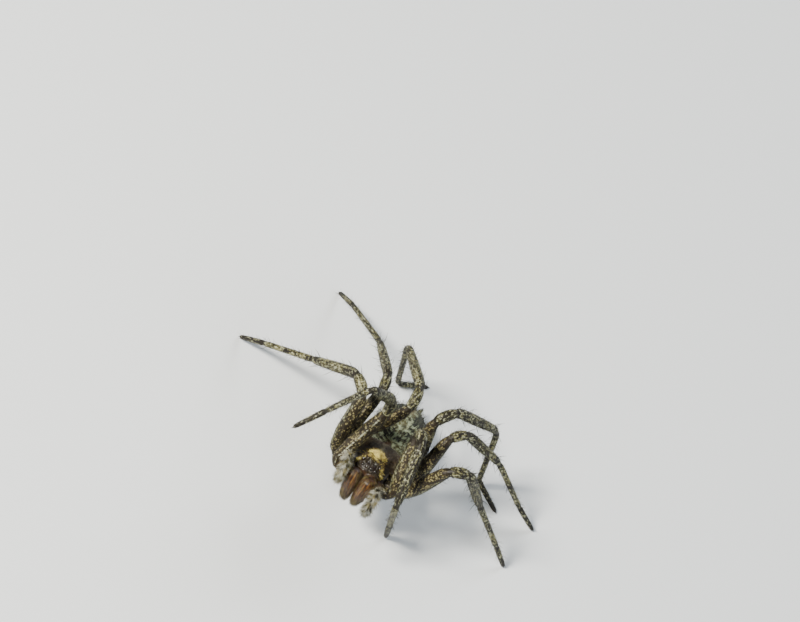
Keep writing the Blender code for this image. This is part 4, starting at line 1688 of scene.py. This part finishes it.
    def make(self, shop: Workshop) -> None:
        """Build and finish the abdomen and spinnerets.

        Args:
            shop: Where its pieces are finished.
        """
        shell = Shell(self.grid(110, 120, 0.006, self.coat_depth))
        skin = [shell.build("abdomen_skin", self.marks)]
        skin += [self.front_spinneret(side).build("small", self.plain_marks) for side in Side]
        shop.finish(join_pieces("abdomen_skin", skin), "abdomen_skin", "abdomen", ["abdomen"])
        rng = np.random.default_rng(55)
        hairs = self.coat(shell, rng)
        upper = hairs.uv[:, 0] < 0.5
        for word, keep in (("upper", upper), ("lower", ~upper)):
            shop.finish(hairs.take(keep).build("abdomen_coat_" + word), "abdomen_hair", "abdomen")
        flat = HairStyle((0.16, 0.30), 0.012, (12.0, 35.0), 0.3, 0.4)
        for side in Side:
            part, name = self.spinneret(side), "spinneret_" + side.word
            shop.finish(part.build(name + "_skin", self.plain_marks), "abdomen_skin", "abdomen", [name])
            coat = flat.sow(part, 520, self.plain_marks, rng).above_floor()
            shop.finish(coat.build(name + "_coat"), "abdomen_hair", "abdomen")


@dataclass(frozen=True)
class Jaws:
    """The two swollen jaws with their fangs."""

    top: Place = (0.62, -2.70, 0.10)
    length: float = 2.05
    lean: float = math.radians(9.0)
    closing: float = 0.20
    fang_part: float = 0.91
    fang_root: Place = (0.12, -0.06, 0.0)
    fang_way: Place = (-0.40, 0.42, -0.52)
    fang_bow: Place = (0.10, -0.10, -0.22)
    # Part of the length and radius
    radii: Rows = (
        (-0.13, 0.16),
        (-0.10, 0.30),
        (0.0, 0.46),
        (0.07, 0.53),
        (0.25, 0.565),
        (0.55, 0.500),
        (0.85, 0.370),
        (0.97, 0.27),
        (1.0, 0.18),
    )
    # Kinds of bristle and how many of each
    bristles: Coat = (
        (HairStyle((0.25, 0.50), 0.010, (8.0, 30.0), 0.20, 0.5, tint=0.0), 500),
        (HairStyle((0.25, 0.48), 0.010, (3.0, 14.0), 0.14, 0.5, tint=0.62), 620),
    )

    def down(self) -> Array:
        """Direction from the top of a jaw to its tip, in the frame of the head and thorax."""
        return np.array((0.0, -math.sin(self.lean), -math.cos(self.lean)))

    def jaw(self, side: Side) -> Shell:
        """One jaw, in the layout.

        Args:
            side: Side of the body.

        Returns:
            The skin.
        """
        parts = np.linspace(-0.13, 1.0, 68)
        radius = smooth_curve(parts, *np.array(self.radii).T)
        around = circle(48)
        outward = np.array((1.0, 0.0, 0.0))
        forward = np.cross(self.down(), outward)
        centre = np.array(self.top) + self.down() * (parts * self.length)[:, None]
        centre[:, 0] -= self.closing * np.clip(parts, 0.0, 1.0)
        swell = 1.0 + 0.10 * np.maximum(0.0, -np.sin(around))[None] * bell(parts, 0.22, 0.25)[:, None]
        across = np.cos(around)[None, :, None] * outward + np.sin(around)[None, :, None] * forward
        grid = centre[:, None] + across * (radius[:, None] * swell)[:, :, None]
        return Shell(BODY.place(mirrored(grid, side)))

    def fang(self, side: Side) -> Piece:
        """One fang, folded in under the jaw's tip.

        Args:
            side: Side of the body.

        Returns:
            The fang as a piece.
        """
        base = np.array(self.top) - np.array((self.closing * self.fang_part, 0.0, 0.0))
        root = base + self.down() * (self.length * self.fang_part) + np.array(self.fang_root)
        tip = root + np.array(self.fang_way)
        bend = (root + tip) / 2.0 + np.array(self.fang_bow)
        path = BODY.place(mirrored(bow(root, bend, tip, 24), side))
        line = CentreLine(path, (path[0], path[12], path[-1]))
        return Shell(line.tube(np.linspace(0.135, 0.012, 24), 16)).build("fang_" + side.word)

    def marks(self, _places: Array, _around: Array, along: Array) -> Array:
        """Markings of the jaws: darker at the top and towards the tip, with a painted highlight on the
        swollen base.
        """
        dark = 0.5 * ramp(along, 0.55, 1.0) + 0.3 * bell(along, 0.0, 0.12)
        # The pale channel is a painted highlight across the swollen base
        return np.stack([dark, 0.4 * bell(along, 0.25, 0.15), 0.1 + 0.0 * along], axis=1)

    def streaks(self, shell: Shell) -> Array:
        """Places around and along a jaw, for its streaks.

        Args:
            shell: Skin of the jaw.

        Returns:
            One place for each vertex.
        """
        around, along = shell.vertex_uv().T
        angle = around * math.tau
        return np.stack([np.cos(angle), np.sin(angle), along * self.length], axis=1)

    def make(self, shop: Workshop) -> None:
        """Build and finish the jaws, fangs and their sparse bristles.

        Args:
            shop: Where its pieces are finished.
        """
        for side in Side:
            rng = np.random.default_rng(81 + (side is Side.LEFT))
            shell, name = self.jaw(side), "chelicera_" + side.word
            piece = shell.build(name + "_shell", self.marks)
            write(piece, "streak", self.streaks(shell))
            shop.finish(piece, "jaw_shell", "jaw", [name])
            shop.finish(self.fang(side), "fang_horn", "jaw")
            along = shell.uv[:, :, 1]
            share = 0.5 + ramp(along, 0.5, 0.9) + 1.2 * bell(along, 0.05, 0.08)
            # The bristles take the jaws' markings, with the painted highlight on the swollen base
            groups = [style.sow(shell, count, self.marks, rng, share) for style, count in self.bristles]
            shop.finish(Hairs.joined(groups).build(name + "_bristles"), "thorax_hair", "jaw")


@dataclass(frozen=True)
class PalpShape:
    """Sizes and stance of the palps, and the coat on them."""

    root: Place = (1.50, -2.42, -0.86)
    lengths: tuple[float, float, float] = (2.00, 1.40, 1.40)
    roundings: tuple[float, float] = (0.55, 0.42)
    # Turn and rise of each length
    left: Rows = ((87.0, 44.0), (92.0, -45.0), (-90.0, -55.0))
    right: Rows = ((46.0, 84.0), (104.0, -36.0), (-90.0, -72.0))
    # Parts of each length and the radius there
    profile: tuple[Rows, ...] = (
        ((0.0, 0.15), (0.25, 0.21), (0.70, 0.22), (0.92, 0.185)),
        ((0.0, 0.19), (0.15, 0.250), (0.45, 0.235), (0.55, 0.21), (0.62, 0.260), (0.90, 0.240)),
        ((0.0, 0.20), (0.10, 0.250), (0.55, 0.23), (0.85, 0.160), (0.97, 0.085)),
    )
    # Kinds of hair and how many of each
    coat: Coat = (
        (HairStyle((0.22, 0.42), 0.0125, (22.0, 58.0), 0.50, 0.5), 2800),
        (HairStyle((0.36, 0.62), 0.011, (32.0, 70.0), 0.50, 0.5), 620),
        (HairStyle((0.30, 0.55), 0.012, (30.0, 60.0), 0.30, 0.3, tint=1.0), 60),
    )


class Palp:
    """One palp: a short leg beside the jaws with long pale hair."""

    def __init__(self, side: Side) -> None:
        """Lay the centre line and the skin's grid.

        Args:
            side: Side of the body.
        """
        shape = PalpShape()
        self.side, self.coat = side, shape.coat
        corners = [mirrored(shape.root, side)]
        angles = shape.left if side is Side.LEFT else shape.right
        for length, (turn, rise) in zip(shape.lengths, angles):
            corners.append(corners[-1] + length * direction(side, turn, rise))
        corners = [BODY.place(corner[None])[0] for corner in corners]
        self.line = CentreLine.through(corners, shape.roundings, 0.07)
        reach = np.linspace(0.0, self.line.length, len(self.line.points))
        radius = limb_radius(reach, self.line.joints, shape.profile, 0.03)
        self.shell = Shell(self.line.tube(radius, 24))

    def marks(self, places: Array, _around: Array, along: Array) -> Array:
        """Markings of a palp: red-brown thigh, then pale with dark speckles.

        Args:
            places: Points on the skin.
            along: Unwrap along.

        Returns:
            Dark, pale and tint for each point.
        """
        reach = along * self.line.length
        dark = 0.08 + 0.8 * (patches(places, 0.26, 12) - 0.5)
        for joint in self.line.joints[1:-1]:
            dark = dark + 0.4 * bell(reach, joint, 0.10)
        thigh = 1.0 - ramp(reach / self.line.joints[1], 0.55, 0.95)
        pale = 0.22 + 0.45 * patches(places, 0.3, 31) - 0.6 * thigh
        return np.stack([dark - 0.1 * thigh, pale, 0.6 * thigh], axis=1)

    def make(self, shop: Workshop) -> None:
        """Build and finish the palp.

        Args:
            shop: Where its pieces are finished.
        """
        rng, name = np.random.default_rng(61 + (self.side is Side.LEFT)), "palp_" + self.side.word
        skin = self.shell.build(name + "_skin", self.marks)
        shop.finish(skin, "palp_skin", "leg", [name + "_femur", name + "_tip"])
        groups = [style.sow(self.shell, count, self.marks, rng) for style, count in self.coat]
        shop.finish(Hairs.joined(groups).above_floor().build(name + "_coat"), "palp_hair", "leg")


# The picture


@dataclass(frozen=True)
class Lamp:
    """One soft lamp that points at the spider: its place and size in millimetres, and its watts."""

    name: str
    place: Place
    size: float
    power: float
    colour: Colour

    def hang(self) -> None:
        """Add the lamp."""
        data = bpy.data.lights.new(self.name, "AREA")
        data.size = self.size * METRES_PER_MM
        data.energy = self.power
        data.color = self.colour
        spot = Vector(self.place) * METRES_PER_MM
        aim = (Vector((0.0, 0.0, 0.005)) - spot).to_track_quat("-Z", "Y").to_matrix().to_4x4()
        link(self.name, data).matrix_world = Matrix.Translation(spot) @ aim


@dataclass(frozen=True)
class Picture:
    """Camera, lamps and floor."""

    centre: Place = (-5.426, 9.731, 7.596)
    right: Place = (0.766, 0.5065, 0.3957)
    up: Place = (-0.643, 0.6036, 0.4716)
    back: Place = (0.0, -0.6157, 0.788)
    distance: float = 250.0
    lens: float = 157.5
    lamps: tuple[Lamp, ...] = (
        Lamp("key_lamp", (-150.0, -130.0, 210.0), 60.0, 2.1, (1.0, 0.95, 0.86)),
        Lamp("fill_lamp", (240.0, -90.0, 150.0), 200.0, 0.45, (0.90, 0.95, 1.0)),
        Lamp("rim_lamp", (60.0, 260.0, 180.0), 140.0, 0.7, (0.92, 0.96, 1.0)),
    )
    floor_grey: Colour = (0.72, 0.75, 0.76)

    def camera(self) -> None:
        """Set the camera where the photograph was taken from."""
        data = bpy.data.cameras.new("camera")
        data.lens = self.lens
        data.sensor_width = 36.0
        data.clip_start = 0.01
        camera = link("camera", data)
        place = LAYOUT.row(np.array(self.centre) + self.distance * np.array(self.back))
        turn = Matrix((self.right, self.up, self.back)).transposed().to_4x4()
        camera.matrix_world = Matrix.Translation(Vector(place)) @ turn
        bpy.context.scene.camera = camera

    def floor(self) -> None:
        """Lay the plain pale floor."""
        bpy.ops.mesh.primitive_plane_add(size=2.0, location=(0.0, 0.0, 0.0))
        floor = added("floor")
        paint = PlainFinish("floor_paint", self.floor_grey, self.floor_grey, 0.85, per_mm=0.001)
        floor.data.materials.append(paint.material())

    def set_up(self) -> None:
        """Add everything around the object."""
        self.camera()
        for lamp in self.lamps:
            lamp.hang()
        world = bpy.data.worlds.new("studio")
        world.use_nodes = True
        background = world.node_tree.nodes["Background"]
        background.inputs["Color"].default_value = (0.86, 0.92, 1.0, 1.0)
        background.inputs["Strength"].default_value = 0.16
        bpy.context.scene.world = world
        self.floor()


def find_layout() -> Layout:
    """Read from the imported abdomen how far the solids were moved.

    Returns:
        The layout.
    """
    egg = Abdomen()
    rings = egg.grid(egg.steps, 24, egg.end_cut, 0.0).reshape(-1, 3)
    low, high = rings.min(axis=0), rings.max(axis=0)
    packed_low, packed_high = (np.array(corner) / METRES_PER_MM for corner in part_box("abdomen"))
    sideways = (packed_low[0] + packed_high[0] - low[0] - high[0]) / 2.0
    return Layout(np.array((sideways, packed_low[1] - low[1], 0.0)))


LAYOUT = find_layout()


def main() -> None:
    """Build the spider's pieces, then the picture around them."""
    logging.basicConfig(level=logging.INFO, format="%(message)s")
    shop = Workshop()
    HeadAndThorax().make(shop)
    Abdomen().make(shop)
    Jaws().make(shop)
    for side in Side:
        Palp(side).make(shop)
        for number in LEG_SIZES:
            Leg(side, number).make(shop)
    Picture().set_up()
    LOG.info("%d pieces, moved by %s mm", shop.count, LAYOUT.shift)


if __name__ == "__main__":
    main()
